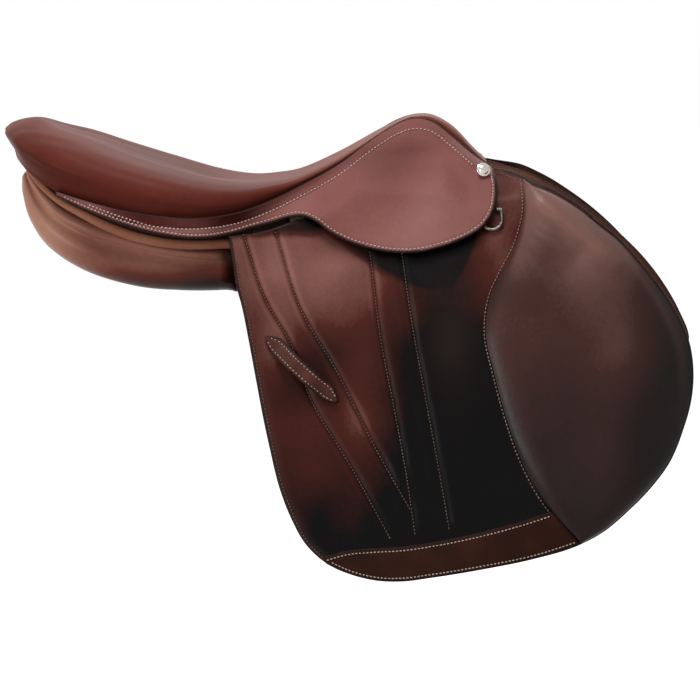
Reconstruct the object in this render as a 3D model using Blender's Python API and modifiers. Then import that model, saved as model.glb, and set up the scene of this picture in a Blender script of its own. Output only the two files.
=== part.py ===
"""A close-contact jumping saddle, built piece by piece.

Sizes are millimetres and become metres when a mesh is made. +X points to the horse's head,
+Y to the horse's left and +Z up. The origin is on the centre line, straight below the
lowest point of the seat, level with the underside of the rear panels.

Every piece of the right side, at negative Y, is made again for the left side as its mirror
image. All the leather of a side lies on one splayed surface, and each layer is an offset
of it, so a change to that surface carries every layer with it.
"""

import math

import bmesh
import bpy
import numpy as np
from mathutils import Matrix, Vector

MM = 0.001
GAP = 0.4  # clearance between neighbours
SOFT_GAP = 1.1  # clearance between padded neighbours, whose facets don't match

# Leather and stack thicknesses
FLAP_THICK = 5.0
SKIRT_THICK = 3.6
SWEAT_THICK = 3.4
BILLET_THICK = 4.0
COVER_THICK = 1.6
PATCH_THICK = 1.5
PAD_CROWN = 8.0
PAD_RIM = 1.4
SKIRT_LIFT = 11.2  # inner face of the skirt lobe, above the flap's inner face
SKIRT_LIFT_AT_WELT = 1.0
SWEAT_ROOM = 9.0  # between flap and sweat flap, where the girth straps hang
TREE_ROOM = 18.0  # the same beside the tree points

# The splayed side surface: distance from the centre line at SPREAD_LEVEL, by station
SPREAD_LEVEL = 36.0
SPREAD_X = (-215, -160, -116, -72, -44, -14, 0, 60, 117, 180, 240, 300, 353)
SPREAD_Y = (112, 131, 131, 120, 104, 94, 91, 92, 97, 104, 106, 100, 88)
SIDE_SLOPE = 0.5
SIDE_CURL = 0.0004
ROUND_BAND = (26.0, 8.0)  # height over which the skirt bends in to the welt, behind and at the nail
FLAP_CREST = (124.0, 108.0)  # where the skirt starts to lift over the flap below, in the same places
NAIL_BLEND_X = (138, 167)  # between the one place and the other
LIFT_FALL = (2, 14)  # below that crest, from no lift to the whole of it
LIFT_X = (-60, 30)  # the same along the saddle
TREE_ROOM_Z = (-34, 8)  # heights over which the sweat flap moves in beside the tree points
TREE_ROOM_X = (178, 205)  # stations over which it moves out again in front of them

# The seat's stations from pommel to the middle of the cantle. Each gives the welt's place
# (x, y, z), where its spoke starts on the centre line (x, z), and the crest's height.
SEAT_STATIONS = np.array([
    (184, 36, 111, 184, 115, 114.5),
    (169, 31, 127, 169, 131, 130.5),
    (151, 28, 143, 151, 147, 146.5),
    (132, 27, 151, 132, 154.5, 154),
    (115, 29, 151, 115, 154.5, 154),
    (102, 34, 144, 102, 148.5, 148),
    (84, 40, 132, 84, 138.5, 138),
    (49, 54, 106, 49, 115, 114.5),
    (14, 66, 89, 14, 101.5, 102),
    (-12, 78, 76, -12, 98, 99),
    (-38, 92, 69, -38, 97.5, 101),
    (-71, 108, 70, -71, 99, 106.5),
    (-114, 116, 75, -110, 104, 119.5),
    (-157, 112, 82, -140, 111, 133),
    (-196, 97, 92, -165, 118, 144),
    (-227, 73, 109, -181, 123, 149),
    (-244, 46, 118, -190, 126, 150),
    (-252, 22, 122, -194, 127, 150),
    (-254, 0, 123, -195, 127.5, 150),
], float)
LAST_SIDE_STATION = 14  # the stations before this one lie on the side, the rest round the cantle
CREST_AT = 0.78  # share of the spoke where the crest is
OVERHANG = (0, 0, 0, 0, 0, 0, 0, 0, 0.5, 1.5, 3, 5, 7, 8.5, 9, 9, 9, 9, 9)  # past the welt
FOAM_DEPTH = 20.0
FOAM_EDGE = (-1.0, 4.0)  # its lower edge above the welt, at the twist and round the cantle
FOAM_EDGE_AT = (0.42, 0.60)  # shares of the way back where the one ends and the other starts
STATION_LINES = np.linspace(0, 1, 24)  # shared by all that lies under the seat, so facets match
SPOKE_LINES = np.linspace(0, 1, 9)
UNDER_GAP = 0.7  # clearance between the layers under the seat
WEB_THICK = 1.6
RAIL_THICK = 8.0
RAIL_DIP = 14.0  # how far the rails' front ends come down to the head
WELT_RUN = 450.0  # rough length from pommel to cantle, for a gap given as a share of it
WEB_LEVELS = (68.0, 55.0, 41.0)  # heights of a girth web's leg above its foot
SPRING_THICK = 2.0
WELT_RADIUS = 1.4
WELT_DROP = 0.6  # its top below the seat cover's lower edge
SKIRT_DROP = WELT_DROP + 2 * WELT_RADIUS + 2 * GAP  # the skirt's upper edge, below the same
WEB_INSET = 2.6
HEAD_X = (127, 148, 169)
HEAD_CROWN = (126, 122, 106)
HEAD_INSET = 7.5
HEAD_FOOT = 16.0
HEAD_THICK = 8.0
PLATE_THICK = 2.0
PLATE_X = (131, 148, 165)
PLATE_CROWN = (125.2, 122, 109)
FACING_X = (181, 190, 206, 222)
FACING_CROWN = (108, 108, 104, 97)
FACING_INSET = (22.9, 19.3, 14.4, 13.8)  # at its four stations, inside the sweat flap
FACING_FOOT = 66.0
FACING_THICK = 2.4
ARCH_POINTS = 25

# Outlines in side view, x then z
FLAP_HINGE = ((-39, 7), (281, 60))
FLAP_OUTLINE = (
    (-36, -6), (-28, -36), (-21, -69), (-14, -102), (-8, -127), (1, -160), (11, -184), (23, -204),
    (40, -219), (64, -229), (85, -233), (106, -233), (132, -229), (174, -221), (216, -212),
    (257, -200), (277, -190), (298, -174), (318, -156), (335, -136), (348, -109), (355, -88),
    (358, -64), (356, -39), (347, -16), (334, 6), (318, 27), (297, 48),
)
FLAP_TOP_UPPER = (
    (-47, 49.5), (-28, 50), (-12, 51.5), (10, 56), (34, 65), (62, 80), (88, 94), (112, 102),
    (138, 99), (160, 92), (182, 84), (193, 92), (200, 106), (212, 104), (230, 97), (243, 90),
    (265, 75), (275, 68),
)
STRIP_LOWER = (
    (-196, 82), (-157, 71), (-113, 61), (-71, 55), (-37, 53), (-12, 54.5), (8, 60), (22, 64.5),
)
FACING_ROWS = (0, 0.06, 0.16, 0.4, 1)  # shares of the way down, close together where it bends
SKIRT_HINGE = ((22, 64), (187, 98))
LOBE_OUTLINE = (
    (27, 59), (41, 52.5), (59, 45), (81, 39.5), (103, 37), (121, 38), (138, 42), (152, 46.5),
    (164, 52), (175, 59), (182, 67), (187, 78), (188.5, 88),
)
SWEAT_UPPER = (
    (-34, 28), (0, 34), (50, 42), (95, 50), (125, 56), (150, 61), (168, 68), (182, 82), (195, 98),
)
SWEAT_OUTLINE = (
    (-30, -10), (-22, -60), (-13, -105), (0, -150), (22, -190), (48, -212), (80, -223), (106, -224),
    (140, -218), (174, -211), (216, -201), (255, -187), (290, -165), (316, -140), (334, -110),
    (345, -80), (352, -55), (357, -37), (349, -14), (336, 9), (320, 30), (299, 51), (276, 69),
    (246, 90), (224, 101), (207, 105),
)
SWEAT_ROWS = (0, 0.17, 0.34, 0.64, 1)  # shares of the way down, close together beside the tree
PAD_UPPER = ((204, 45.5), (281, 58.3))
PAD_OUTLINE = (
    (200, 37), (191, 20), (182, 1), (178, -26), (181, -48), (186, -66), (195, -98), (207, -131),
    (220, -156), (233, -175), (246, -189), (257, -196), (275, -186), (294, -171), (313, -153),
    (330, -133), (343, -107), (349, -87), (352, -64), (350, -40), (341, -18), (328, 3), (312, 23),
    (295, 42),
)
PATCH_UPPER = (
    (43, -217), (59, -211), (82, -208), (106, -206), (140, -200), (174, -192), (210, -182),
    (232, -175.5),
)
PATCH_LOWER = (
    (47, -220.5), (66, -227), (85, -230), (106, -230.5), (132, -226.5), (174, -218.5),
    (216, -209.5), (252, -199),
)
KEEPER_ENDS = ((-12, -34), (49, -86))
KEEPER_WIDTH = 13.0
KEEPER_THICK = 3.0
KEEPER_ARCH = 9.0
KEEPER_RISE = (0.12, 0.42)  # shares of its length over which it rises from each end
KEEPER_POINT = 0.14  # share of its length over which each end is pointed

# Metal and straps
NAIL_AT = (175, 105.5)
NAIL_RADIUS = 6.6
NAIL_SHANK = 1.5
NAIL_PROUD = 0.5  # between its rim and the highest leather under it
DEE_AT = (184, 73)
DEE_WIDTH = 17.0
DEE_DROP = 19.0
DEE_WIRE = 1.4
CHAPE_THICK = 0.8
CHAPE_TAIL = 9.0
CHAPE_WIDTH = 9.0
BAR_AT = (131, 62)
BAR_LENGTH = 66.0
BAR_HEIGHT = 13.0
BAR_THICK = 6.0
BAR_PLATE = 3.0
BAR_SLOT = 7.4  # where the stirrup leather lies
BAR_FRONT = 36.0  # its front end, ahead of BAR_AT
BAR_WINDOW = (88.0, 27.0)  # opening in the flap round it, along and up
BAR_WINDOW_SHIFT = -6.0
CATCH_LENGTH = 18.0
PIN_RADIUS = 1.5
PIN_CLEARANCE = 0.06
BILLET_X = (30, 70, 110)
BILLET_TOP = 26.0
BILLET_END = -186.0
BILLET_WIDTH = 25.0
BILLET_HOLES = 5
BILLET_HOLE_STEP = 22.0
BILLET_HOLE_START = 26.0  # the lowest one, above the strap's end
BILLET_TAPER = 14.0
BILLET_HOLE_RADIUS = 2.2
BILLET_SHIFT = 0.7  # how much nearer the sweat flap than the flap the straps hang
SWING_GAP = 0.9  # between a web's foot and its straps, which swing

# The panel's stations from the rear end to the front: top (x, z), bottom (x, z), outer y,
# inner y, inner bottom z. Under the flap the sweat flap's inner face sets the outer y instead.
PANEL_STATIONS = np.array([
    (-224, 103, -229, 94, 56, 37, 97),
    (-219, 97, -229, 81, 66, 36, 86),
    (-208, 83, -223, 64, 79, 35, 72),
    (-193, 70, -204, 44, 92, 34, 58),
    (-168, 60, -171, 28, 102, 34, 45),
    (-128, 49, -128, 16, 106, 34, 36),
    (-86, 40, -86, 10, 103, 34, 30),
    (-45, 34, -45, 8, 94, 35, 27),
    (0, 30, 0, 4, 94, 36, 22),
    (45, 38, 45, -8, 98, 38, 10),
    (90, 46, 90, -28, 104, 40, -12),
    (135, 52, 135, -44, 110, 42, -34),
    (172, 54, 172, -42, 112, 48, -36),
    (196, 38, 196, -18, 106, 60, -14),
], float)
PANEL_FREE_X = (-88, -52)  # behind these stations no sweat flap holds the panel in
PANEL_FREE_ROOM = 60.0
PANEL_SKIN = 1.6
PANEL_INSET = TREE_ROOM + SWEAT_THICK + PANEL_SKIN + 3.6
FOAM_FILL = 0.905  # share of the cover's section that the foam fills
ROLL_RADIUS = 4.0
CANTLE_ROLL = np.array([
    (-52, -92, 39), (-91, -104, 43), (-129, -109, 49), (-168, -103, 60.2), (-199, -89, 74.5),
    (-223, -69, 96.5), (-240, -40, 111.5), (-245, 0, 117),
], float)

LEATHER_RED = (0.165, 0.052, 0.036)
LEATHER_DARK = (0.060, 0.022, 0.017)
LEATHER_TAN = (0.270, 0.088, 0.045)


def clear_scene():
    for thing in list(bpy.data.objects):
        bpy.data.objects.remove(thing, do_unlink=True)


def make_material(name, colour, roughness, metallic=0.0):
    material = bpy.data.materials.new(name)
    material.use_nodes = True
    shader = material.node_tree.nodes["Principled BSDF"]
    shader.inputs["Base Color"].default_value = (*colour, 1)
    shader.inputs["Roughness"].default_value = roughness
    shader.inputs["Metallic"].default_value = metallic
    return material


def smooth(at, values, where):
    """Cubic curve through values given at rising places, sloped at each as its neighbours are."""
    at = np.asarray(at, float)
    values = np.asarray(values, float)
    where = np.clip(where, at[0], at[-1])
    slopes = np.gradient(values, at, axis=0)
    i = np.clip(np.searchsorted(at, where) - 1, 0, len(at) - 2)
    span = at[i + 1] - at[i]
    u = (where - at[i]) / span
    if values.ndim > 1:
        u, span = u[..., None], span[..., None]
    rise = 3 * u**2 - 2 * u**3
    return (
        values[i] * (1 - rise) + values[i + 1] * rise
        + span * (slopes[i] * u * (1 - u) ** 2 - slopes[i + 1] * u**2 * (1 - u))
    )


def through(points, count):
    """Points spread evenly along a smooth curve through the given ones."""
    points = np.asarray(points, float)
    run = np.concatenate([[0], np.cumsum(np.linalg.norm(np.diff(points, axis=0), axis=1))])
    fine = smooth(run, points, np.linspace(0, run[-1], 40 * len(points)))
    along = np.concatenate([[0], np.cumsum(np.linalg.norm(np.diff(fine, axis=0), axis=1))])
    even = np.linspace(0, along[-1], count)
    return np.stack([np.interp(even, along, fine[:, k]) for k in range(fine.shape[1])], 1)


def ease(value, low, high):
    """0 below low, 1 above high, smooth between."""
    u = np.clip((value - low) / (high - low), 0, 1)
    return u * u * (3 - 2 * u)


def side_y(x, z):
    """Distance from the centre line to the flap's inner face."""
    fall = SPREAD_LEVEL - z
    return smooth(SPREAD_X, SPREAD_Y, x) + SIDE_SLOPE * fall - SIDE_CURL * fall**2


def side_normal(x, z):
    """Unit normals of the right side's surface, pointing outwards."""
    step = 1.0
    along = (side_y(x + step, z) - side_y(x - step, z)) / (2 * step)
    up = (side_y(x, z + step) - side_y(x, z - step)) / (2 * step)
    normal = np.stack([-along, -np.ones_like(along), -up], -1)
    return normal / np.linalg.norm(normal, axis=-1, keepdims=True)


def on_side(outline, offset):
    """Points of the right side over an outline in side view, moved out by offset."""
    x, z = outline[..., 0], outline[..., 1]
    points = np.stack([x, -side_y(x, z), z], -1)
    tilt = 1 / np.abs(side_normal(x, z)[..., 1])
    points[..., 1] -= offset * tilt
    return points


def welt_at(x):
    """Half width and height of the welt at a station along the side."""
    rows = SEAT_STATIONS[LAST_SIDE_STATION::-1]
    return smooth(rows[:, 0], rows[:, 1], x), smooth(rows[:, 0], rows[:, 2], x)


def on_skirt(outline, offset):
    """The side surface, bent in near the welt, moved out by the skirt's lift and an offset."""
    x, z = outline[..., 0], outline[..., 1]
    half, top = welt_at(x)
    to_nail = ease(x, *NAIL_BLEND_X)
    band = ROUND_BAND[0] + (ROUND_BAND[1] - ROUND_BAND[0]) * to_nail
    crest = np.minimum(top, FLAP_CREST[0] + (FLAP_CREST[1] - FLAP_CREST[0]) * to_nail)
    near_welt = np.clip((z - top + SKIRT_DROP) / band + 1, 0, 1) ** 3
    over_flap = ease(crest - z, *LIFT_FALL) * ease(x, *LIFT_X)
    lift = SKIRT_LIFT_AT_WELT + (SKIRT_LIFT - SKIRT_LIFT_AT_WELT) * over_flap
    points = on_side(outline, lift + offset)
    points[..., 1] += (side_y(x, top) - half) * near_welt
    return points


def sweat_gap(x, z):
    """Room between the flap's inner face and the sweat flap's outer face."""
    beside_tree = ease(z, *TREE_ROOM_Z) * (1 - ease(x, *TREE_ROOM_X))
    return SWEAT_ROOM + (TREE_ROOM - SWEAT_ROOM) * beside_tree


def ruled(upper, lower, along, rows):
    """Grid of outline points between two curves: along points each, in rows from first to last.

    rows is their number, or the shares of the way from one curve to the other.
    """
    first, last = through(upper, along), through(lower, along)
    share = (np.linspace(0, 1, rows) if isinstance(rows, int) else np.array(rows))[:, None, None]
    return first[None] * (1 - share) + last[None] * share


def put(name, mesh, material, joint=None):
    """Adds the mesh as an object of the saddle, parented to its joint's empty if it moves."""
    piece = bpy.data.objects.new(name, mesh)
    saddle.objects.link(piece)
    mesh.materials.append(material)
    if joint is not None:
        piece.parent = joint
        piece.matrix_parent_inverse = joint.matrix_world.inverted()
    return piece


def grid_mesh(name, points, flip=False):
    """An open surface: a Blender grid whose vertices are moved onto the given rows of points."""
    rows, columns = points.shape[:2]
    build = bmesh.new()
    bmesh.ops.create_grid(build, x_segments=columns - 1, y_segments=rows - 1, size=1)
    build.verts.ensure_lookup_table()
    for vertex, place in zip(build.verts, points.reshape(-1, 3)):
        vertex.co = place * MM
    if flip:
        bmesh.ops.reverse_faces(build, faces=build.faces[:])
    mesh = bpy.data.meshes.new(name)
    build.to_mesh(mesh)
    build.free()
    mesh.shade_smooth()
    return mesh


def solid_mesh(name, sections):
    """A closed loft: loops of points, one after another, with the first and last filled in."""
    count, around = sections.shape[:2]
    build = bmesh.new()
    loops = [[build.verts.new(place * MM) for place in loop] for loop in sections]
    for one, two in zip(loops, loops[1:]):
        for k in range(around):
            build.faces.new((one[k], one[(k + 1) % around], two[(k + 1) % around], two[k]))
    build.faces.new(loops[0][::-1])
    build.faces.new(loops[-1])
    bmesh.ops.recalc_face_normals(build, faces=build.faces[:])
    mesh = bpy.data.meshes.new(name)
    build.to_mesh(mesh)
    build.free()
    mesh.shade_smooth()
    mesh.set_sharp_from_angle(angle=math.radians(40))
    return mesh


def mirrored(points, side):
    """Points of the right side, or their mirror images for the left side."""
    return points if side == "R" else points * np.array([1, -1, 1])


def sheet(name, points, thickness, material, side="R", joint=None):
    """Leather on the grid of points, thickened along the grid's own outward normals."""
    mesh = grid_mesh(name, mirrored(points, side), flip=side == "L")
    piece = put(name, mesh, material, joint)
    shell = piece.modifiers.new("thickness", "SOLIDIFY")
    shell.thickness = thickness * MM
    shell.offset = 1
    shell.use_even_offset = True
    return piece


def between(name, inner, outer, material, side="R", joint=None):
    """A closed solid between two grids of the same shape, joined round their rims."""
    rows, columns = inner.shape[:2]
    inner, outer = mirrored(inner, side), mirrored(outer, side)
    build = bmesh.new()
    skins = []
    for grid in (inner, outer):
        skins.append([[build.verts.new(place * MM) for place in row] for row in grid])
    for skin in skins:
        for a, b in zip(skin, skin[1:]):
            for k in range(columns - 1):
                build.faces.new((a[k], a[k + 1], b[k + 1], b[k]))
    for low, high in zip(rim_of(skins[0]), rim_of(skins[1])):
        build.faces.new((low[0], low[1], high[1], high[0]))
    bmesh.ops.recalc_face_normals(build, faces=build.faces[:])
    mesh = bpy.data.meshes.new(name)
    build.to_mesh(mesh)
    build.free()
    mesh.shade_smooth()
    return put(name, mesh, material, joint)


def rim_of(skin):
    """The rim of a grid of vertices, as pairs in order."""
    loop = skin[0][:-1] + [row[-1] for row in skin[:-1]]
    loop += skin[-1][:0:-1] + [row[0] for row in skin[:0:-1]]
    return list(zip(loop, loop[1:] + loop[:1]))


def tube(name, points, radius, material, side="R", resolution=1, closed=False):
    """A round cord or wire: a curve with a bevel and filled caps."""
    points = mirrored(np.asarray(points, float), side) * MM
    curve = bpy.data.curves.new(name, "CURVE")
    curve.dimensions = "3D"
    curve.bevel_depth = radius * MM
    curve.bevel_resolution = resolution
    curve.use_fill_caps = True
    spline = curve.splines.new("POLY")
    spline.points.add(len(points) - 1)
    spline.points.foreach_set("co", np.c_[points, np.ones(len(points))].ravel())
    spline.use_cyclic_u = closed
    piece = bpy.data.objects.new(name, curve)
    saddle.objects.link(piece)
    curve.materials.append(material)
    return piece


def as_mesh(piece):
    """Turns a curve object into a mesh object of the same name, welded."""
    graph = bpy.context.evaluated_depsgraph_get()
    mesh = bpy.data.meshes.new_from_object(piece.evaluated_get(graph))
    build = bmesh.new()
    build.from_mesh(mesh)
    bmesh.ops.remove_doubles(build, verts=build.verts[:], dist=1e-6)
    build.to_mesh(mesh)
    build.free()
    name, place = piece.name, piece.matrix_world.copy()
    for collection in list(piece.users_collection):
        collection.objects.unlink(piece)
    bpy.data.objects.remove(piece)
    made = bpy.data.objects.new(name, mesh)
    saddle.objects.link(made)
    made.matrix_world = place
    return made


def extruded(name, outline, depth, frame, material, joint=None):
    """A flat outline in a frame's first two axes, extruded half of depth each way along its third."""
    curve = bpy.data.curves.new(name, "CURVE")
    curve.dimensions = "2D"
    curve.fill_mode = "BOTH"
    curve.extrude = depth / 2 * MM
    spline = curve.splines.new("POLY")
    spline.points.add(len(outline) - 1)
    flat = np.zeros((len(outline), 4))
    flat[:, :2] = np.asarray(outline, float) * MM
    flat[:, 3] = 1
    spline.points.foreach_set("co", flat.ravel())
    spline.use_cyclic_u = True
    piece = bpy.data.objects.new(name, curve)
    saddle.objects.link(piece)
    piece.matrix_world = frame
    bpy.context.view_layer.update()
    piece = as_mesh(piece)
    piece.data.materials.append(material)
    if joint is not None:
        piece.parent = joint
        piece.matrix_parent_inverse = joint.matrix_world.inverted()
    return piece


def cut(piece, cutter):
    """Takes the cutter's shape out of the piece."""
    cutter.hide_render = True
    cutter.display_type = "WIRE"
    hole = piece.modifiers.new("hole", "BOOLEAN")
    hole.operation = "DIFFERENCE"
    hole.solver = "EXACT"
    hole.object = cutter


def cylinder(name, radius, length, frame, sides=12, cutter=False):
    """A cylinder along the frame's third axis."""
    build = bmesh.new()
    bmesh.ops.create_cone(
        build, cap_ends=True, segments=sides, radius1=radius * MM, radius2=radius * MM, depth=length * MM
    )
    mesh = bpy.data.meshes.new(name)
    build.to_mesh(mesh)
    build.free()
    piece = bpy.data.objects.new(name, mesh)
    (cutters if cutter else saddle).objects.link(piece)
    piece.matrix_world = frame
    return piece


def local_frame(at, offset, side, order="xz"):
    """A frame on the side surface: first axis forward along it, then up it or out of it."""
    spot = np.array(at, float)
    place = on_side(spot[None], offset)[0]
    out = side_normal(spot[None, 0], spot[None, 1])[0]
    forward = np.array([1, 0, 0]) - out * out[0]
    forward /= np.linalg.norm(forward)
    up = np.cross(out, forward)
    up *= np.sign(up[2])
    if side == "L":
        place, out, forward, up = (v * np.array([1, -1, 1]) for v in (place, out, forward, up))
    axes = (forward, up, out) if order == "xz" else (forward, out, up)
    frame = Matrix.Identity(4)
    for k, axis in enumerate(axes):
        frame.col[k][:3] = axis
    frame.translation = place * MM
    return frame


def joint_empty(name, start, end, side):
    """An empty on a joint's axis, from start to end on the right side; prints them for the record."""
    start, end = mirrored(np.array([start, end], float), side)
    axis = (end - start) / np.linalg.norm(end - start)
    empty = bpy.data.objects.new(name, None)
    saddle.objects.link(empty)
    empty.location = Vector(start * MM)
    empty.rotation_mode = "QUATERNION"
    empty.rotation_quaternion = Vector(axis).to_track_quat("X", "Z")
    bpy.context.view_layer.update()
    print("joint", name, "at", np.round(start * MM, 5).tolist(), "axis", np.round(axis, 5).tolist())
    return empty


def hinge_outside(line, surface, thickness):
    """Ends of a straight hinge that lies outside a sheet's outer face all along a line of it."""
    outline = through(line, 33)
    face = surface(outline, thickness)
    start, end = face[0], face[-1]
    share = ((outline[:, 0] - outline[0, 0]) / (outline[-1, 0] - outline[0, 0]))[:, None]
    chord = start * (1 - share) + end * share
    proud = (chord[:, 1] - face[:, 1]).max()
    return start - np.array([0, proud + 0.2, 0]), end - np.array([0, proud + 0.2, 0])


def seat_rows():
    """The seat's stations as arrays: spoke starts, directions and lengths, and the heights."""
    rows = SEAT_STATIONS
    start = np.stack([rows[:, 3], np.zeros(len(rows))], 1)
    spoke = rows[:, :2] - start
    length = np.linalg.norm(spoke, axis=1)
    way = spoke / length[:, None]
    return start, way, length, rows[:, 4], rows[:, 5], rows[:, 2]


def seat_top(t, s):
    """The seat's top: t runs from pommel (0) to cantle (1), s from the centre line (0) to the welt (1).

    Along each spoke a smooth curve leaves the centre line level, rises to the crest, rolls
    over it, stands a little proud of the welt and comes back in to meet it.
    """
    start, way, length, centre, crest, edge = seat_rows()
    proud = np.array(OVERHANG)
    knots = np.array([0, 0.30, 0.56, 0.72, 0.85, 0.94, 1.0])
    drop = crest - edge
    reach = np.stack([
        0 * length, 0.42 * length, CREST_AT * length, 0.95 * length + 0.3 * proud,
        length + proud, length + 0.85 * proud, length,
    ], 1)
    height = np.stack([
        centre, centre + 0.3 * (crest - centre), crest, crest - 0.16 * drop,
        crest - 0.5 * drop, crest - 0.84 * drop, edge + 0.2,
    ], 1)
    at = np.linspace(0, 1, len(SEAT_STATIONS))
    t_flat, s_flat = t.ravel(), s.ravel()
    plan = np.zeros(len(t_flat))
    up = np.zeros(len(t_flat))
    reach_t, height_t = smooth(at, reach, t_flat), smooth(at, height, t_flat)
    for k in range(len(t_flat)):
        plan[k] = smooth(knots, reach_t[k], s_flat[k])
        up[k] = smooth(knots, height_t[k], s_flat[k])
    begin, along = smooth(at, start, t_flat), smooth(at, way, t_flat)
    flat = begin + along * plan[:, None]
    return np.stack([flat[:, 0], -flat[:, 1], up], 1).reshape(*t.shape, 3)


def seat_under(t, s, drop=0.0):
    """The foam's underside: from FOAM_DEPTH below the centre line up to near the welt's level."""
    start, way, length, centre, _, edge = seat_rows()
    at = np.linspace(0, 1, len(SEAT_STATIONS))
    begin, along = smooth(at, start, t), smooth(at, way, t)
    reach = smooth(at, length, t) * s
    low = smooth(at, centre, t) - FOAM_DEPTH
    high = smooth(at, edge, t) + np.interp(t, FOAM_EDGE_AT, FOAM_EDGE)
    flat = begin + along * reach[..., None]
    return np.stack([flat[..., 0], -flat[..., 1], low + (high - low) * s**1.5 - drop], -1)


def both_halves(half):
    """A grid whose rows run out along the spokes, continued over the centre line to the left."""
    left = half[:, :0:-1] * np.array([1, -1, 1])
    return np.concatenate([left, half], 1)


def round_cantle(half):
    """A grid of the right side's spokes, continued round the cantle by those of the left."""
    left = (half * np.array([1, -1, 1]))[::-1][1:]
    return np.concatenate([half, left])


def seat_cover():
    """The seat leather, from welt to welt over the pommel, the seat and the cantle."""
    t, s = np.meshgrid(STATION_LINES, SPOKE_LINES, indexing="ij")
    mesh = round_the_back("seat_cover", round_cantle(seat_top(t, s)))
    shell = put("seat_cover", mesh, leather_seat).modifiers.new("thickness", "SOLIDIFY")
    shell.thickness = COVER_THICK * MM
    shell.offset = -1
    shell.use_even_offset = True


def round_the_back(name, loop):
    """One surface from spokes that run down the right side, round the cantle and up the left.

    The spokes' first points are on the centre line, so those of the two sides are merged.
    """
    mesh = grid_mesh(name, loop)
    build = bmesh.new()
    build.from_mesh(mesh)
    bmesh.ops.remove_doubles(build, verts=build.verts[:], dist=1e-5)
    bmesh.ops.recalc_face_normals(build, faces=build.faces[:])
    if sum(face.normal.z * face.calc_area() for face in build.faces) < 0:
        bmesh.ops.reverse_faces(build, faces=build.faces[:])
    build.to_mesh(mesh)
    build.free()
    return mesh


def seat_foam():
    """The foam between cover and webs: crowned on top, and resting on the tree below."""
    t, s = np.meshgrid(STATION_LINES, SPOKE_LINES, indexing="ij")
    top = seat_top(t, s)
    normal = np.cross(np.gradient(top, axis=1), np.gradient(top, axis=0))[1:-1, :-1]
    normal[:, 0, 1] = 0
    normal *= np.sign(normal[len(t) // 2, 0, 2]) / np.linalg.norm(normal, axis=2, keepdims=True)
    top = top[1:-1, :-1] - normal * (COVER_THICK + SOFT_GAP)
    under = seat_under(t, s)[1:-1, :-1]
    between("seat_foam", both_halves(under), both_halves(top), foam)


def under_seat(name, t, s, drop, thickness, material, side="R", whole=None):
    """A strip of the surface under the seat at drop below it, thickened downwards.

    t and s are its lines, s being one row for all stations or a row for each. whole names how
    the right half is continued to the left, for what crosses the centre line.
    """
    t = np.broadcast_to(np.asarray(t)[:, None], (len(t), np.shape(s)[-1]))
    s = np.broadcast_to(s, t.shape)
    low, high = seat_under(t, s, drop + thickness), seat_under(t, s, drop)
    if whole is not None:
        low, high = whole(low), whole(high)
    between(name, low, high, material, side)


def build_tree():
    """Rails and cantle of laminated beech, the springs on them, and the webs over them.

    The rails' front ends dip to butt on the head, and the cantle starts as wide as the rails.
    """
    web_drop = UNDER_GAP
    cross_drop = web_drop + WEB_THICK + UNDER_GAP
    rail_drop = cross_drop + WEB_THICK + UNDER_GAP
    lines, spokes = STATION_LINES, SPOKE_LINES
    head_t = np.interp(GAP - HEAD_X[0], -SEAT_STATIONS[:, 0], np.linspace(0, 1, len(SEAT_STATIONS)))
    rail_t = np.append(head_t, lines[5:17])
    dip = np.zeros((13, 1))
    dip[0] = RAIL_DIP
    joint_t = lines[16] + GAP / WELT_RUN
    cantle_t = np.append(joint_t, lines[17:])
    narrow = ease(np.arange(8), 0, 2)[:, None]
    cantle_s = spokes[5:8] * (1 - narrow) + spokes[3:6] * narrow
    for side in "RL":
        under_seat(f"tree_rail_{side}", rail_t, spokes[5:8], rail_drop + dip, RAIL_THICK, beech, side)
        spring_drop = rail_drop + RAIL_THICK + UNDER_GAP
        under_seat(f"tree_spring_{side}", lines[6:17], spokes[5:7], spring_drop, SPRING_THICK, steel, side)
        under_seat(f"seat_web_{side}", lines[6:22], spokes[1:4], web_drop, WEB_THICK, webbing, side)
    under_seat("tree_cantle", cantle_t, cantle_s, rail_drop, RAIL_THICK, beech, whole=round_cantle)
    under_seat("waist_web", lines[12:14], spokes[:8], cross_drop, WEB_THICK, webbing, whole=both_halves)
    girth_web("girth_web_front", (8, 10), (122.5, 57.5), cross_drop)
    girth_web("girth_web_rear", (10, 12), (42.5, 17.5), cross_drop)


def girth_web(name, stations, foot, drop):
    """A web over the tree, fanning out as it comes down each side to its girth straps."""
    t, s = np.meshgrid(STATION_LINES[slice(*stations)], SPOKE_LINES[:8], indexing="ij")
    top = seat_under(t, s, drop)
    levels = np.array([*WEB_LEVELS, BILLET_TOP + SWING_GAP])
    share = (top[0, -1, 2] - levels) / (top[0, -1, 2] - levels[-1])
    skins = []
    for depth in (0.0, WEB_THICK):
        rows = []
        for line, x_foot in zip(seat_under(t, s, drop + depth), foot):
            x = line[-1, 0] + (x_foot - line[-1, 0]) * share
            leg = on_side(np.stack([x, levels], 1), -WEB_INSET - depth)
            rows.append(np.concatenate([line, leg]))
        skins.append(both_halves(np.array(rows)))
    between(name, skins[1], skins[0], webbing)


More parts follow.
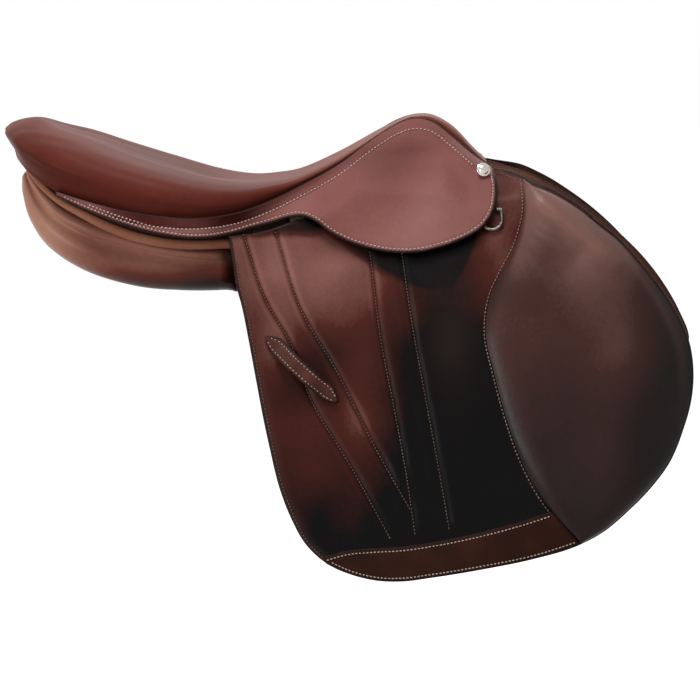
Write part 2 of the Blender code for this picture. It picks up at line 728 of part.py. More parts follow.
def arch(x, inset, foot, crown, depth=0.0):
    """An arch at one station: up inside the right flap, over at the crown's height, down the left.

    depth moves the curve inwards along its own normals, for the layers below the first.
    """
    levels = np.linspace(foot, crown - 26, 6)
    leg = on_side(np.stack([np.full(6, float(x)), levels], 1), -inset)
    top = np.array([
        (x, leg[-1, 1] * 0.80, crown - 13), (x, leg[-1, 1] * 0.45, crown - 3), (x, 0, crown)
    ])
    half = np.concatenate([leg, top])
    left = (half * np.array([1, -1, 1]))[::-1][1:]
    line = through(np.concatenate([half, left]), ARCH_POINTS)
    run = np.gradient(line[:, 1:], axis=0)
    run /= np.linalg.norm(run, axis=1, keepdims=True)
    inward = np.stack([0 * run[:, 0], run[:, 1], -run[:, 0]], 1)
    return line + inward * depth


def arch_band(name, wide, crowns, inset, foot, depths, material, keep=0):
    """A band of arches from front to back, between two depths, with keep points cut off each foot."""
    skins = []
    for depth in depths:
        insets = np.broadcast_to(inset, len(wide))
        rows = np.stack([arch(*row, depth) for row in zip(wide, insets, [foot] * len(wide), crowns)])
        skins.append(rows[:, keep:ARCH_POINTS - keep])
    between(name, skins[1], skins[0], material)


def build_head():
    """The head with its points, the steel plate under it, and the leather facing in front of it."""
    arch_band("tree_head", HEAD_X, HEAD_CROWN, HEAD_INSET, HEAD_FOOT, (0, HEAD_THICK), beech)
    under = HEAD_THICK + 1.0
    arch_band("gullet_plate", PLATE_X, PLATE_CROWN, HEAD_INSET, HEAD_FOOT,
              (under, under + PLATE_THICK), steel, keep=7)
    arch_band("pommel_facing", FACING_X, FACING_CROWN, FACING_INSET, FACING_FOOT,
              (0, FACING_THICK), leather_dark)


def build_seat_edge():
    """The welts between seat and skirts, and the roll round the cantle."""
    x = np.linspace(183, -194, 30)
    half, top = welt_at(x)
    for side in "RL":
        line = np.stack([x, -half - 0.6, top - WELT_DROP - WELT_RADIUS], 1)
        tube(f"seat_welt_{side}", line, WELT_RADIUS, leather_edge, side, 1)
    path = np.concatenate([CANTLE_ROLL, (CANTLE_ROLL * np.array([1, -1, 1]))[::-1][1:]])
    tube("cantle_roll", through(path, 34), ROLL_RADIUS, leather_roll, "R", 1)


def panel_wall(x, z):
    """The y that the panel's lining keeps inside of: the sweat flap's, from where that begins."""
    inside = on_side(np.stack([x, z], -1), -PANEL_INSET)[..., 1]
    return inside - PANEL_FREE_ROOM * (1 - ease(x, *PANEL_FREE_X))


def panel_loops(around=16, stations=15):
    """Loops of the panel cover's inner face, from the rear end to the front.

    Each section is a smooth closed curve: flat on top, a narrow ridge and a wide bulge on
    the outside, rounded below, and upright along the gullet. Nothing passes the sweat flap.
    """
    rows = smooth(np.linspace(0, 1, len(PANEL_STATIONS)), PANEL_STATIONS, np.linspace(0, 1, stations))
    loops = []
    for top_x, top_z, low_x, low_z, outer, inner, inner_z in rows:
        corner = min(8, 0.3 * (outer - inner))
        outside = np.array([
            (outer - corner, 0.0), (outer - 3, 0.10), (outer - 1, 0.24), (outer - 4, 0.38),
            (outer + 2, 0.56), (outer + 1, 0.80), (outer - corner, 1.0),
        ])
        x = top_x + (low_x - top_x) * outside[:, 1]
        z = top_z + (low_z - top_z) * outside[:, 1]
        outside = np.stack([x, np.maximum(-outside[:, 0], panel_wall(x, z)), z], 1)
        inside = np.array([
            (low_x, -0.5 * (outer + inner), 0.5 * (low_z + inner_z) - 3),
            (low_x, -inner - 0.6 * corner, inner_z),
            (top_x, -inner, 0.5 * (top_z + inner_z)),
            (top_x, -inner - 0.4 * corner, top_z - 1),
        ])
        inside[0, 1] = max(inside[0, 1], outside[-1, 1] + 0.3 * corner)
        ring = np.concatenate([inside[-1:], outside, inside])
        loops.append(through(ring, around + 1)[:-1])
    loops = np.array(loops)
    loops[..., 1] = np.maximum(loops[..., 1], panel_wall(loops[..., 0], loops[..., 2]))
    return loops


def grown(loops, distance):
    """Closed loops moved outwards, along normals taken from their neighbours."""
    round_way = np.roll(loops, -1, 1) - np.roll(loops, 1, 1)
    long_way = np.gradient(loops, axis=0)
    normal = np.cross(long_way, round_way)
    normal /= np.linalg.norm(normal, axis=2, keepdims=True)
    outward = np.sign((normal * (loops - loops.mean(1, keepdims=True))).sum())
    return loops + outward * normal * distance


def build_panels():
    """Foam cores and their leather, which is open on top where the panel is laced to the tree."""
    lining = panel_loops()
    middle = lining.mean(1, keepdims=True)
    core = middle + (lining - middle) * FOAM_FILL
    skins = [np.roll(loops, -1, 1) for loops in (lining, grown(lining, PANEL_SKIN))]
    for side in "RL":
        put(f"panel_foam_{side}", solid_mesh(f"panel_foam_{side}", mirrored(core, side)), foam)
        between(f"panel_cover_{side}", *skins, leather_panel, side)


def build_flaps():
    """Sweat flap, flap with its pad, patch and keeper, and the skirt, each side on its hinges."""
    flap_axis = hinge_outside(FLAP_HINGE, on_side, FLAP_THICK)
    skirt_axis = hinge_outside(SKIRT_HINGE, on_skirt, SKIRT_THICK)
    hinge = np.array(FLAP_HINGE, float)
    crease = np.array(SKIRT_HINGE, float)
    split = np.array([0, GAP])
    for side in "RL":
        lift = joint_empty(f"flap_lift_{side}", *flap_axis, side)
        fold = joint_empty(f"skirt_lift_{side}", *skirt_axis, side)
        area = ruled(SWEAT_UPPER, SWEAT_OUTLINE, 28, SWEAT_ROWS)
        inner = -sweat_gap(area[..., 0], area[..., 1]) - SWEAT_THICK
        sheet(f"sweat_flap_{side}", on_side(area[::-1], inner[::-1]), SWEAT_THICK, leather_dark, side)
        area = ruled(hinge, FLAP_OUTLINE, 28, 5)
        sheet(f"flap_{side}", on_side(area[::-1], 0.0), FLAP_THICK, leather_dark, side, lift)
        area = ruled(FLAP_TOP_UPPER, hinge + split, 24, 3)
        top = sheet(f"flap_top_{side}", on_side(area[::-1], 0.0), FLAP_THICK, leather_dark, side)
        cut(top, bar_window(side))
        area = ruled(PAD_UPPER, PAD_OUTLINE, 24, 5)
        across = np.linspace(0, 1, 5)[:, None]
        along = np.linspace(0, 1, 24)[None, :]
        swell = (1 - across**3) * ease(np.minimum(along, 1 - along), -0.15, 0.3) * ease(across, -0.6, 0.5)
        base = FLAP_THICK + SOFT_GAP
        between(f"knee_pad_{side}", on_side(area, base), on_side(area, base + PAD_RIM + PAD_CROWN * swell),
                leather_dark, side, lift)
        base = FLAP_THICK + GAP
        area = ruled(PATCH_UPPER, PATCH_LOWER, 16, 2)
        sheet(f"grip_patch_{side}", on_side(area[::-1], base), PATCH_THICK, leather_roll, side, lift)
        keeper(side, base, lift)
        upper_x = np.linspace(-194, 186.5, 30)
        upper = np.stack([upper_x, welt_at(upper_x)[1] - SKIRT_DROP], 1)
        lower = np.concatenate([STRIP_LOWER[:-1], np.linspace(*crease, 6) + 2 * split])
        area = ruled(upper, lower, 34, FACING_ROWS)
        facing = sheet(f"skirt_facing_{side}", on_skirt(area[::-1], 0.0), SKIRT_THICK, leather_skirt, side)
        nail(side, facing)
        area = ruled(crease, LOBE_OUTLINE, 18, 3)
        sheet(f"skirt_lobe_{side}", on_skirt(area[::-1], 0.0), SKIRT_THICK, leather_skirt, side, fold)


def keeper(side, base, joint):
    """The arched leather loop on the flap, pointed at both ends."""
    start, end = np.array(KEEPER_ENDS, float)
    way = (end - start) / np.linalg.norm(end - start)
    across = np.array([-way[1], way[0]])
    share = np.linspace(0, 1, 15)
    half = KEEPER_WIDTH / 2 * np.clip(np.minimum(share, 1 - share) / KEEPER_POINT, 0.12, 1) ** 0.7
    rise = KEEPER_ARCH * ease(np.minimum(share, 1 - share), *KEEPER_RISE)
    loops = []
    for u, w, up in zip(share, half, rise):
        spot = start + (end - start) * u
        edges = np.array([spot - across * w, spot + across * w])
        low, high = on_side(edges, base + up), on_side(edges, base + up + KEEPER_THICK)
        loops.append([low[0], low[1], high[1], high[0]])
    mesh = solid_mesh(f"keeper_{side}", mirrored(np.array(loops), side))
    put(f"keeper_{side}", mesh, leather_skirt, joint)


def nail(side, facing):
    """The nickel nail through the skirt: a turned dome on a shank, and the hole it needs."""
    turn = np.linspace(0, 2 * math.pi, 12, endpoint=False)
    round_way = np.stack([np.cos(turn), np.sin(turn)], 1)
    rim, core = (on_skirt(np.array(NAIL_AT) + r * round_way, 0.0) for r in (NAIL_RADIUS, 3.0))
    face = core.mean(0)
    out = np.cross(core[3] - core[9], core[0] - core[6])
    out *= -np.sign(out[1]) / np.linalg.norm(out)
    face = face + out * (((rim - face) @ out).max() + SKIRT_THICK + NAIL_PROUD)
    if side == "L":
        face, out = face * (1, -1, 1), out * (1, -1, 1)
    frame = Vector(out).to_track_quat("Z", "Y").to_matrix().to_4x4()
    frame.translation = face * MM
    profile = [(0.0, 3.2), (2.6, 3.0), (4.8, 2.1), (NAIL_RADIUS, 0.5), (NAIL_RADIUS - 0.6, 0.0),
               (NAIL_SHANK, 0.0), (NAIL_SHANK, -SKIRT_THICK - 4), (0.0, -SKIRT_THICK - 5)]
    build = bmesh.new()
    verts = [build.verts.new((r * MM, 0, h * MM)) for r, h in profile]
    for a, b in zip(verts, verts[1:]):
        build.edges.new((a, b))
    mesh = bpy.data.meshes.new(f"nail_{side}")
    build.to_mesh(mesh)
    build.free()
    piece = put(f"nail_{side}", mesh, nickel)
    piece.matrix_world = frame
    turn = piece.modifiers.new("turn", "SCREW")
    turn.steps = turn.render_steps = 12
    turn.use_merge_vertices = True
    turn.merge_threshold = 0.00001
    turn.use_smooth_shade = True
    hole = cylinder(f"nail_hole_{side}", NAIL_SHANK + GAP, 16, frame, 10, cutter=True)
    cut(facing, hole)


def bar_window(side):
    """Cutter for the opening in the flap that the stirrup bar stands in."""
    frame = local_frame(BAR_AT, FLAP_THICK / 2, side)
    build = bmesh.new()
    bmesh.ops.create_cube(build, size=1)
    bmesh.ops.scale(build, verts=build.verts[:], vec=(BAR_WINDOW[0] * MM, BAR_WINDOW[1] * MM, 30 * MM))
    bmesh.ops.translate(build, verts=build.verts[:], vec=(BAR_WINDOW_SHIFT * MM, 0, 0))
    mesh = bpy.data.meshes.new(f"bar_window_{side}")
    build.to_mesh(mesh)
    build.free()
    window = bpy.data.objects.new(f"bar_window_{side}", mesh)
    cutters.objects.link(window)
    window.matrix_world = frame
    return window


def build_stirrup_bars():
    """Each bar is one forging bent like a hairpin, with a safety catch pinned to its open end."""
    for side in "RL":
        plate_out = -HEAD_INSET + GAP + BAR_PLATE
        frame = local_frame(BAR_AT, 0, side, "out")
        front, back = BAR_FRONT, BAR_FRONT - BAR_LENGTH
        inner, outer = plate_out + BAR_SLOT, plate_out + BAR_SLOT + BAR_THICK
        lap = inner + BAR_THICK / 2 - GAP / 2
        outline = [
            (4, plate_out - BAR_PLATE), (front - 3, plate_out - BAR_PLATE), (front, plate_out),
            (front + 2, (inner + plate_out) / 2), (front, outer - 1), (front - 3, outer),
            (back + 13, outer), (back + 13, lap), (back, lap), (back, inner),
            (front - 6, inner), (front - 4, (inner + plate_out) / 2), (front - 6, plate_out), (4, plate_out),
        ]
        bar = extruded(f"stirrup_bar_{side}", outline, BAR_HEIGHT, frame, steel)
        pivot = local_frame(BAR_AT, 0, side, "out") @ Matrix.Translation(
            ((back + 6) * MM, (lap + BAR_THICK / 4) * MM, 0)
        )
        turned = pivot @ Matrix.Rotation(math.radians(90), 4, "X")
        start = np.array(pivot.translation) / MM * (1, 1 if side == "R" else -1, 1)
        out = np.array(frame.col[1][:3]) * (1, 1 if side == "R" else -1, 1)
        swing = joint_empty(f"catch_turn_{side}", start, start + out * 10, side)
        reach = CATCH_LENGTH
        catch_outline = [
            (5.2, 4.0), (5.2, -4.0), (3.5, -5.5), (-reach + 3, -4), (-reach, -1.5), (-reach, 1.5),
            (-reach + 3, 4), (3.5, 5.5),
        ]
        thick = BAR_THICK / 2 - GAP
        turned_shape = turned @ Matrix.Translation((0, 0, -(BAR_THICK / 4 - thick / 2 - GAP / 2) * MM))
        catch = extruded(f"stirrup_catch_{side}", catch_outline, thick, turned_shape, steel, swing)
        drill = cylinder(f"catch_hole_{side}", PIN_RADIUS + PIN_CLEARANCE, 30, turned, 12, cutter=True)
        cut(bar, drill)
        cut(catch, drill)
        middle = turned @ Matrix.Translation((0, 0, BAR_THICK / 4 * MM))
        pin = cylinder(f"catch_pin_{side}", PIN_RADIUS, BAR_THICK, middle, 12)
        pin.data.materials.append(steel)


def build_dees():
    """A nickel dee under the skirt's front edge, hung in a folded leather chape."""
    base = FLAP_THICK + GAP
    half, drop = DEE_WIDTH / 2, DEE_DROP
    bar_out = CHAPE_THICK + GAP / 2 + DEE_WIRE
    for side in "RL":
        frame = local_frame(DEE_AT, base, side)
        bend = np.linspace(0, math.pi, 11)
        ring = [(-half, 0.0), (half, 0.0)]
        ring += [(half * math.cos(a), -(drop - half) - half * math.sin(a)) for a in bend]
        points = np.array([tuple(frame @ Vector((u * MM, v * MM, bar_out * MM))) for u, v in ring]) / MM
        wire = tube(f"dee_{side}", points, DEE_WIRE, nickel, "R", 1, closed=True)
        start = np.array(frame @ Vector((0, 0, bar_out * MM))) / MM * (1, 1 if side == "R" else -1, 1)
        along = np.array(frame.col[0][:3]) * (1, 1 if side == "R" else -1, 1)
        swing = joint_empty(f"dee_swing_{side}", start, start + along * 10, side)
        bpy.context.view_layer.update()
        wire = as_mesh(wire)
        wire.data.materials.append(nickel)
        wire.parent = swing
        wire.matrix_parent_inverse = swing.matrix_world.inverted()
        fold = bar_out
        grip = DEE_WIRE + GAP / 2
        outer = grip + CHAPE_THICK
        bend = np.linspace(-math.pi / 2, math.pi / 2, 7)
        outline = [(CHAPE_TAIL, fold - outer)]
        outline += [(-outer * math.cos(a), fold + outer * math.sin(a)) for a in bend]
        outline += [(CHAPE_TAIL, fold + outer), (CHAPE_TAIL, fold + grip)]
        outline += [(-grip * math.cos(a), fold + grip * math.sin(a)) for a in bend[::-1]]
        outline += [(CHAPE_TAIL, fold - grip)]
        turned = frame @ Matrix(((0, 0, 1, 0), (1, 0, 0, 0), (0, 1, 0, 0), (0, 0, 0, 1)))
        extruded(f"dee_chape_{side}", outline, CHAPE_WIDTH, turned, leather_dark)


def build_girth_straps():
    """Three girth straps a side, each swinging on its stitches, and the webs that carry them."""
    room = (SWEAT_ROOM - BILLET_THICK) / 2 + BILLET_SHIFT
    for side in "RL":
        for number, x in enumerate(BILLET_X, 1):
            levels = np.concatenate([np.linspace(BILLET_TOP, BILLET_END + BILLET_TAPER, 9), [BILLET_END]])
            half = np.full(len(levels), BILLET_WIDTH / 2)
            half[-1] = 4.0
            spots = np.stack([np.full(len(levels), float(x)), levels], 1)
            outer = on_side(spots, -room)
            inner = on_side(spots, -room - BILLET_THICK)
            wide = np.stack([half, 0 * half, 0 * half], 1)
            loops = np.stack([inner - wide, inner + wide, outer + wide, outer - wide], 1)
            name = f"girth_strap_{number}_{side}"
            top = 0.5 * (outer[0] + inner[0])
            swing = joint_empty(f"girth_strap_{number}_swing_{side}", top, top - (0, 10, 0), side)
            piece = put(name, solid_mesh(name, mirrored(loops, side)), leather_dark, swing)
            for hole in range(BILLET_HOLES):
                level = BILLET_END + BILLET_HOLE_START + hole * BILLET_HOLE_STEP
                frame = local_frame((x, level), 0, side)
                cut(piece, cylinder(f"{name}_hole_{hole}", BILLET_HOLE_RADIUS, 40, frame, 6, cutter=True))


saddle = bpy.data.collections.new("saddle")
cutters = bpy.data.collections.new("cutters")
clear_scene()
bpy.context.scene.collection.children.link(saddle)
bpy.context.scene.collection.children.link(cutters)

leather_seat = make_material("seat leather", LEATHER_RED, 0.42)
leather_skirt = make_material("skirt leather", LEATHER_RED, 0.5)
leather_dark = make_material("flap leather", LEATHER_DARK, 0.38)
leather_panel = make_material("panel leather", LEATHER_RED, 0.4)
leather_roll = make_material("roll leather", LEATHER_TAN, 0.5)
leather_edge = make_material("inked edge", LEATHER_DARK, 0.6)
foam = make_material("seat foam", (0.55, 0.5, 0.42), 0.9)
beech = make_material("laminated beech", (0.45, 0.29, 0.15), 0.55)
webbing = make_material("tree webbing", (0.6, 0.55, 0.44), 0.9)
steel = make_material("spring steel", (0.35, 0.36, 0.38), 0.35, 1.0)
nickel = make_material("nickel plate", (0.72, 0.70, 0.66), 0.2, 1.0)

seat_cover()
seat_foam()
build_tree()
build_head()
build_seat_edge()
build_panels()
build_flaps()
build_stirrup_bars()
build_dees()
build_girth_straps()
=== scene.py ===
# A close-contact jumping saddle in brown leather, on a white ground.

import math

import bmesh
import bpy
import numpy as np
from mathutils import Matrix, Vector


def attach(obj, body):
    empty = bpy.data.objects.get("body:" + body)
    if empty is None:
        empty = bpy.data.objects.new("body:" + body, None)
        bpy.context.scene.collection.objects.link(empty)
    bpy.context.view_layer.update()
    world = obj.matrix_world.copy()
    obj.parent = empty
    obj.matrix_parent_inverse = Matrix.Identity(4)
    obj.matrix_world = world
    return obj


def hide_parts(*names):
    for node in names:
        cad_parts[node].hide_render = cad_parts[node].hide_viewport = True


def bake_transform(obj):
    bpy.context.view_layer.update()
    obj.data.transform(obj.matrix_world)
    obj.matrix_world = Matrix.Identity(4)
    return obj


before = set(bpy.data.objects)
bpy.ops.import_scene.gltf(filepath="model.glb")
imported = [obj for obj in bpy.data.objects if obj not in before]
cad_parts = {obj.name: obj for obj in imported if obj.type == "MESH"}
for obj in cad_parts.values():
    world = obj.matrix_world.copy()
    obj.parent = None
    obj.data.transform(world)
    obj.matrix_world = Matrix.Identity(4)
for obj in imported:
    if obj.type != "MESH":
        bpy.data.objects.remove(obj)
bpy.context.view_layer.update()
mm = 0.001  # shapes are worked out in millimetres, and the scene is in metres
print("stage: frame loaded")


# Cubic curve through values at rising places, sloped at each as its neighbours are.
def smooth(at, values, where):
    at, values = np.asarray(at, float), np.asarray(values, float)
    where = np.clip(where, at[0], at[-1])
    slopes = np.gradient(values, at, axis=0)
    i = np.clip(np.searchsorted(at, where) - 1, 0, len(at) - 2)
    span = at[i + 1] - at[i]
    u = (where - at[i]) / span
    if values.ndim > 1:
        u, span = u[..., None], span[..., None]
    rise = 3 * u**2 - 2 * u**3
    bend = slopes[i] * u * (1 - u) ** 2 - slopes[i + 1] * u**2 * (1 - u)
    return values[i] * (1 - rise) + values[i + 1] * rise + span * bend


# The same curve where each place has a row of values of its own.
def smoothEach(at, values, where):
    at = np.asarray(at, float)
    slopes = np.gradient(values, at, axis=-1)
    i = np.clip(np.searchsorted(at, where) - 1, 0, len(at) - 2)
    span = at[i + 1] - at[i]
    u = (where - at[i]) / span
    pick = lambda table, k: np.take_along_axis(table, k[..., None], -1)[..., 0]
    rise = 3 * u**2 - 2 * u**3
    bend = pick(slopes, i) * u * (1 - u) ** 2 - pick(slopes, i + 1) * u**2 * (1 - u)
    return pick(values, i) * (1 - rise) + pick(values, i + 1) * rise + span * bend


# Points spread evenly along a smooth curve through the given ones.
def through(points, count):
    points = np.asarray(points, float)
    run = np.r_[0, np.cumsum(np.linalg.norm(np.diff(points, axis=0), axis=1))]
    fine = smooth(run, points, np.linspace(0, run[-1], 40 * len(points)))
    along = np.r_[0, np.cumsum(np.linalg.norm(np.diff(fine, axis=0), axis=1))]
    even = np.linspace(0, along[-1], count)
    return np.stack([np.interp(even, along, fine[:, k]) for k in range(fine.shape[1])], 1)


# 0 below low, 1 above high, an S curve between.
def ease(value, low, high):
    u = np.clip((value - low) / (high - low), 0, 1)
    return u * u * (3 - 2 * u)


# A bell: 1 at the middle, falling off as a Gaussian of the given width.
def bump(value, middle, width):
    return np.exp(-((value - middle) / width) ** 2)


# Soft spots over x and z, summed: each is a middle and a width along x, the same along z, and an
# amount, which falls off as a bell both ways.
def spotted(x, z, spots):
    return sum(amount * bump(x, xAt, xWide) * bump(z, zAt, zWide)
               for xAt, xWide, zAt, zWide, amount in spots)


# A flat curve moved to its left by a distance, square to its own direction.
def inset(curve, distance):
    way = np.gradient(curve, axis=0)
    way /= np.linalg.norm(way, axis=1, keepdims=True)
    return curve + distance * np.stack([-way[:, 1], way[:, 0]], 1)


# Straight lines from one curve to the other: rows down, columns along.
def ruled(upper, lower, columns, rows):
    share = np.linspace(0, 1, rows)[:, None, None] if isinstance(rows, int) else rows[:, None, None]
    return through(upper, columns)[None] * (1 - share) + through(lower, columns)[None] * share


# Distance of each flat point to a smooth line, and the share of the line where it is nearest.
def lineDistance(xz, line, count=160):
    spots = through(line, count)
    best = np.full(xz.shape[:-1], 1e9)
    share = np.zeros(xz.shape[:-1])
    for k, (a, b) in enumerate(zip(spots, spots[1:])):
        step = b - a
        u = np.clip(((xz - a) @ step) / (step @ step), 0, 1)
        away = np.linalg.norm(xz - a - u[..., None] * step, axis=-1)
        nearer = away < best
        best = np.where(nearer, away, best)
        share = np.where(nearer, (k + u) / (count - 1), share)
    return best, share


# Soft random waves: a sum of sines in random directions, mostly between -1.5 and 1.5.
def waves(points, scale, seed, count=18):
    source = np.random.default_rng(seed)
    ways = source.normal(size=(count, points.shape[-1]))
    ways *= source.uniform(0.6, 1.6, (count, 1)) / np.linalg.norm(ways, axis=1, keepdims=True)
    phases = source.uniform(0, 2 * math.pi, count)
    return np.sin(points @ ways.T * (2 * math.pi / scale) + phases).sum(-1) / math.sqrt(count)


side = {
    "level": 36.0,  # height at which the spread below is measured
    "x": (-215, -160, -116, -72, -44, -14, 0, 60, 117, 180, 240, 300, 353),
    "y": (112, 131, 131, 120, 104, 94, 91, 92, 97, 104, 106, 100, 88),
    "slope": 0.5,
    "curl": 0.0004,
}


# Distance from the centre line to the flap's inner face: spread by station, slope and curl by height.
def sideY(x, z):
    fall = side["level"] - z
    return smooth(side["x"], side["y"], x) + side["slope"] * fall - side["curl"] * fall**2


# Unit normal of the right side's face, from its slopes along x and z.
def sideNormal(x, z):
    along = (sideY(x + 1, z) - sideY(x - 1, z)) / 2
    up = (sideY(x, z + 1) - sideY(x, z - 1)) / 2
    normal = np.stack([-along, -np.ones_like(along), -up], -1)
    return normal / np.linalg.norm(normal, axis=-1, keepdims=True)


# Points of the right side over a flat outline, out from the flap's inner face by offset.
def onSide(xz, offset):
    x, z = xz[..., 0], xz[..., 1]
    tilt = 1 / np.abs(sideNormal(x, z)[..., 1])
    return np.stack([x, -sideY(x, z) - offset * tilt, z], -1)


seat = {
    # pommel to cantle: welt x, y, z, then the centre line's x and z, the crest's z and the underside's z
    "stations": np.array([
        (184, 33.5, 109.6, 184, 109.4, 109.5, 96), (169, 30.5, 119.4, 169, 123.4, 123.1, 110),
        (151, 28, 134.4, 151, 141.6, 141.3, 126), (132, 25.6, 148.4, 132, 152.4, 152, 134.5),
        (115, 25.2, 151, 115, 152.5, 152.2, 134.5), (102, 28.6, 147, 102, 147.2, 146.8, 128.5),
        (84, 37.6, 136.6, 84, 138.2, 137.4, 118.5), (49, 54, 111.4, 49, 117.4, 117.0, 95),
        (14, 67, 92.4, 14, 101.2, 101.3, 81.5), (-12, 79.3, 80.4, -12, 95, 96.2, 78),
        (-38, 93, 71.7, -38, 92.6, 94.6, 77.5), (-71, 108, 68.1, -71, 95.5, 99.2, 79),
        (-114, 116, 71.5, -110, 108, 111.4, 84), (-157, 111.5, 79.9, -140, 118, 123.6, 91),
        (-198, 98, 90.8, -165, 127, 135.5, 98), (-226, 76, 106, -181, 132, 141.8, 103),
        (-240, 48, 117.5, -190, 135.6, 146.5, 106), (-247, 24, 122, -194, 137.2, 149, 107),
        (-249.5, 0, 123, -195, 137.6, 150, 107.5),
    ], float),
    "overhang": (0, 0, 0, 0, 0, 0, 0, 0.5, 1, 1.5, 2.5, 4, 5.5, 7, 8, 8, 8, 8, 8),
    "lastSide": 14,
    # spoke shares: along, part of its length, part of the overhang, fall below the crest
    "sideShape": np.array([
        (0.56, 0.60, 0, 0.01), (0.72, 0.84, 0.2, 0.11), (0.85, 0.98, 0.65, 0.35), (0.94, 1, 1, 0.70)]),
    "cantleShape": np.array([
        (0.56, 0.62, 0, 0), (0.72, 0.86, 0.4, 0.08), (0.85, 0.98, 0.85, 0.26), (0.94, 1, 1, 0.5)]),
    "cantleFrom": (12.5, 16.5),
    "foamEdge": (-1.0, 4.0),
    "foamEdgeAt": (0.42, 0.60),
    "rows": 200,
    "columns": 60,
}


# Half width and height of the welt at a station along the side.
def weltAt(x):
    rows = seat["stations"][seat["lastSide"]::-1]
    return smooth(rows[:, 0], rows[:, 1], x), smooth(rows[:, 0], rows[:, 2], x)


skirt = {
    "thickness": 3.6,
    "lift": 11.2,  # over the flap's inner face
    "liftAtWelt": 1.0,
    "drop": 0.9,  # its upper edge, below the welt's station
    "roundBand": (26.0, 14.0),
    "flapCrest": (124.0, 108.0),
    "liftFall": (2.0, 40.0),
    "rimBulge": 0.9,
    "hinge": ((22, 64), (187, 98)),
    "bend": 8.0,  # width of the band of leather at the hinge
    # spots: x and its width, z and its width, and the amount
    "toned": ((140, 70, 60, 34, 0.14), (112, 70, 116, 32, -0.26)),
    # painted sheen: a greyed band across the lobe
    "paintedSheen": ((150, 60, 80, 14, 0.14),),
    "strip": (
        (-197.2, 84.6), (-172.3, 74.8), (-152.8, 67.6), (-134.1, 61.7), (-115.6, 56.3), (-97.5, 52.6),
        (-79.5, 50.1), (-62, 49.9), (-44.5, 52.1), (-26.5, 56.7), (-8.3, 61.3), (6.4, 65.6), (17.4, 66.6),
    ),
    "lobe": (
        (28.9, 62.6), (40.2, 54.6), (59, 45.5), (81, 39.5), (103, 37), (121, 38), (138, 42), (152, 46.5),
        (164, 52), (175, 59), (182, 67), (187, 78), (188.6, 88), (188.8, 97), (187.2, 104.5),
    ),
}


# The side's face, bent in to the welt near it and lifted over the flap, out by offset.
def onSkirt(xz, offset):
    x, z = xz[..., 0], xz[..., 1]
    half, top = weltAt(x)
    toNail = ease(x, 138, 167)
    band = skirt["roundBand"][0] + (skirt["roundBand"][1] - skirt["roundBand"][0]) * toNail
    crest = np.minimum(top, skirt["flapCrest"][0] + (skirt["flapCrest"][1] - skirt["flapCrest"][0]) * toNail)
    nearWelt = np.clip((z - top + skirt["drop"]) / band + 1, 0, 1) ** 3
    overFlap = ease(crest - z, *skirt["liftFall"]) * ease(x, -60, 30)
    lift = skirt["liftAtWelt"] + (skirt["lift"] - skirt["liftAtWelt"]) * overFlap
    points = onSide(xz, lift + offset)
    points[..., 1] += (sideY(x, top) - half) * nearWelt
    return points


# An sRGB hex colour as linear RGBA.
def linear(code):
    value = np.array([int(code[k:k + 2], 16) for k in (0, 2, 4)]) / 255
    value = np.where(value <= 0.04045, value / 12.92, ((value + 0.055) / 1.055) ** 2.4)
    return (*value.tolist(), 1.0)


# Adds a node and gives its first output, or the named one. Settings are its attributes, inputs
# are values or other sockets, in order or by name, and stops a ramp's places and hex colours.
def addNode(tree, kind, inputs=(), settings=None, output=0, stops=()):
    node = tree.nodes.new("ShaderNode" + kind)
    for key, value in (settings or {}).items():
        setattr(node, key, value)
    for key, value in inputs.items() if isinstance(inputs, dict) else enumerate(inputs):
        if isinstance(value, bpy.types.NodeSocket):
            tree.links.new(value, node.inputs[key])
        else:
            node.inputs[key].default_value = value
    for _ in stops[2:]:
        node.color_ramp.elements.new(0.5)
    for k, (place, code) in enumerate(stops):
        node.color_ramp.elements[k].position = place
        node.color_ramp.elements[k].color = linear(code)
    return node.outputs[output]


# A material and its shader, with the values that are the same all over set on its sockets.
def newMaterial(name, constants):
    material = bpy.data.materials.new(name)
    material.use_nodes = True
    shader = material.node_tree.nodes["Principled BSDF"]
    for key, value in constants.items():
        shader.inputs[key].default_value = value
    return material, material.node_tree, shader


# Links a shader's colour and roughness, and its reliefs, each laid over the one before: a height,
# a strength and a depth in millimetres.
def dress(tree, shader, colour, rough, *reliefs):
    tree.links.new(colour, shader.inputs["Base Color"])
    tree.links.new(rough, shader.inputs["Roughness"])
    below = {}
    for height, strength, depth in reliefs:
        inputs = {"Height": height, "Strength": strength, "Distance": depth * mm, **below}
        below = {"Normal": addNode(tree, "Bump", inputs)}
    tree.links.new(below["Normal"], shader.inputs["Normal"])


# A Math node's setting: the first input times the second, plus the third.
scaled = {"operation": "MULTIPLY_ADD"}

leathers = {
    # dye from the deepest to the lightest, pore spacing and relief in millimetres, roughness, gloss
    "seatCalf": (("2f0f0a", "61271d", "8a5044"), 0.9, 0.05, (0.36, 0.46), 0.05),
    "skirtCalf": (("40120d", "8a544f", "b08079"), 1.1, 0.12, (0.42, 0.56), 0.09),
    "flapCalf": (("050303", "51251e", "9e6c63"), 1.2, 0.08, (0.30, 0.42), 0.09),
    "padCalf": (("0b0605", "442621", "8a625a"), 1.2, 0.08, (0.28, 0.38), 0.18),
    "patchPebble": (("140905", "30170e", "4c2b1e"), 1.9, 0.30, (0.5, 0.66), 0.09),
    "rollCalf": (("5a2a1e", "9c624c", "c48a70"), 1.0, 0.10, (0.42, 0.56), 0.09),
    "panelCalf": (("140705", "6e3527", "bd8873"), 1.0, 0.06, (0.26, 0.34), 0.14),
    "sweatCalf": (("221210", "553229", "84584a"), 1.2, 0.10, (0.46, 0.6), 0.09),
    "strapLeather": (("1d1210", "40251f", "633c32"), 1.0, 0.12, (0.45, 0.6), 0.09),
}
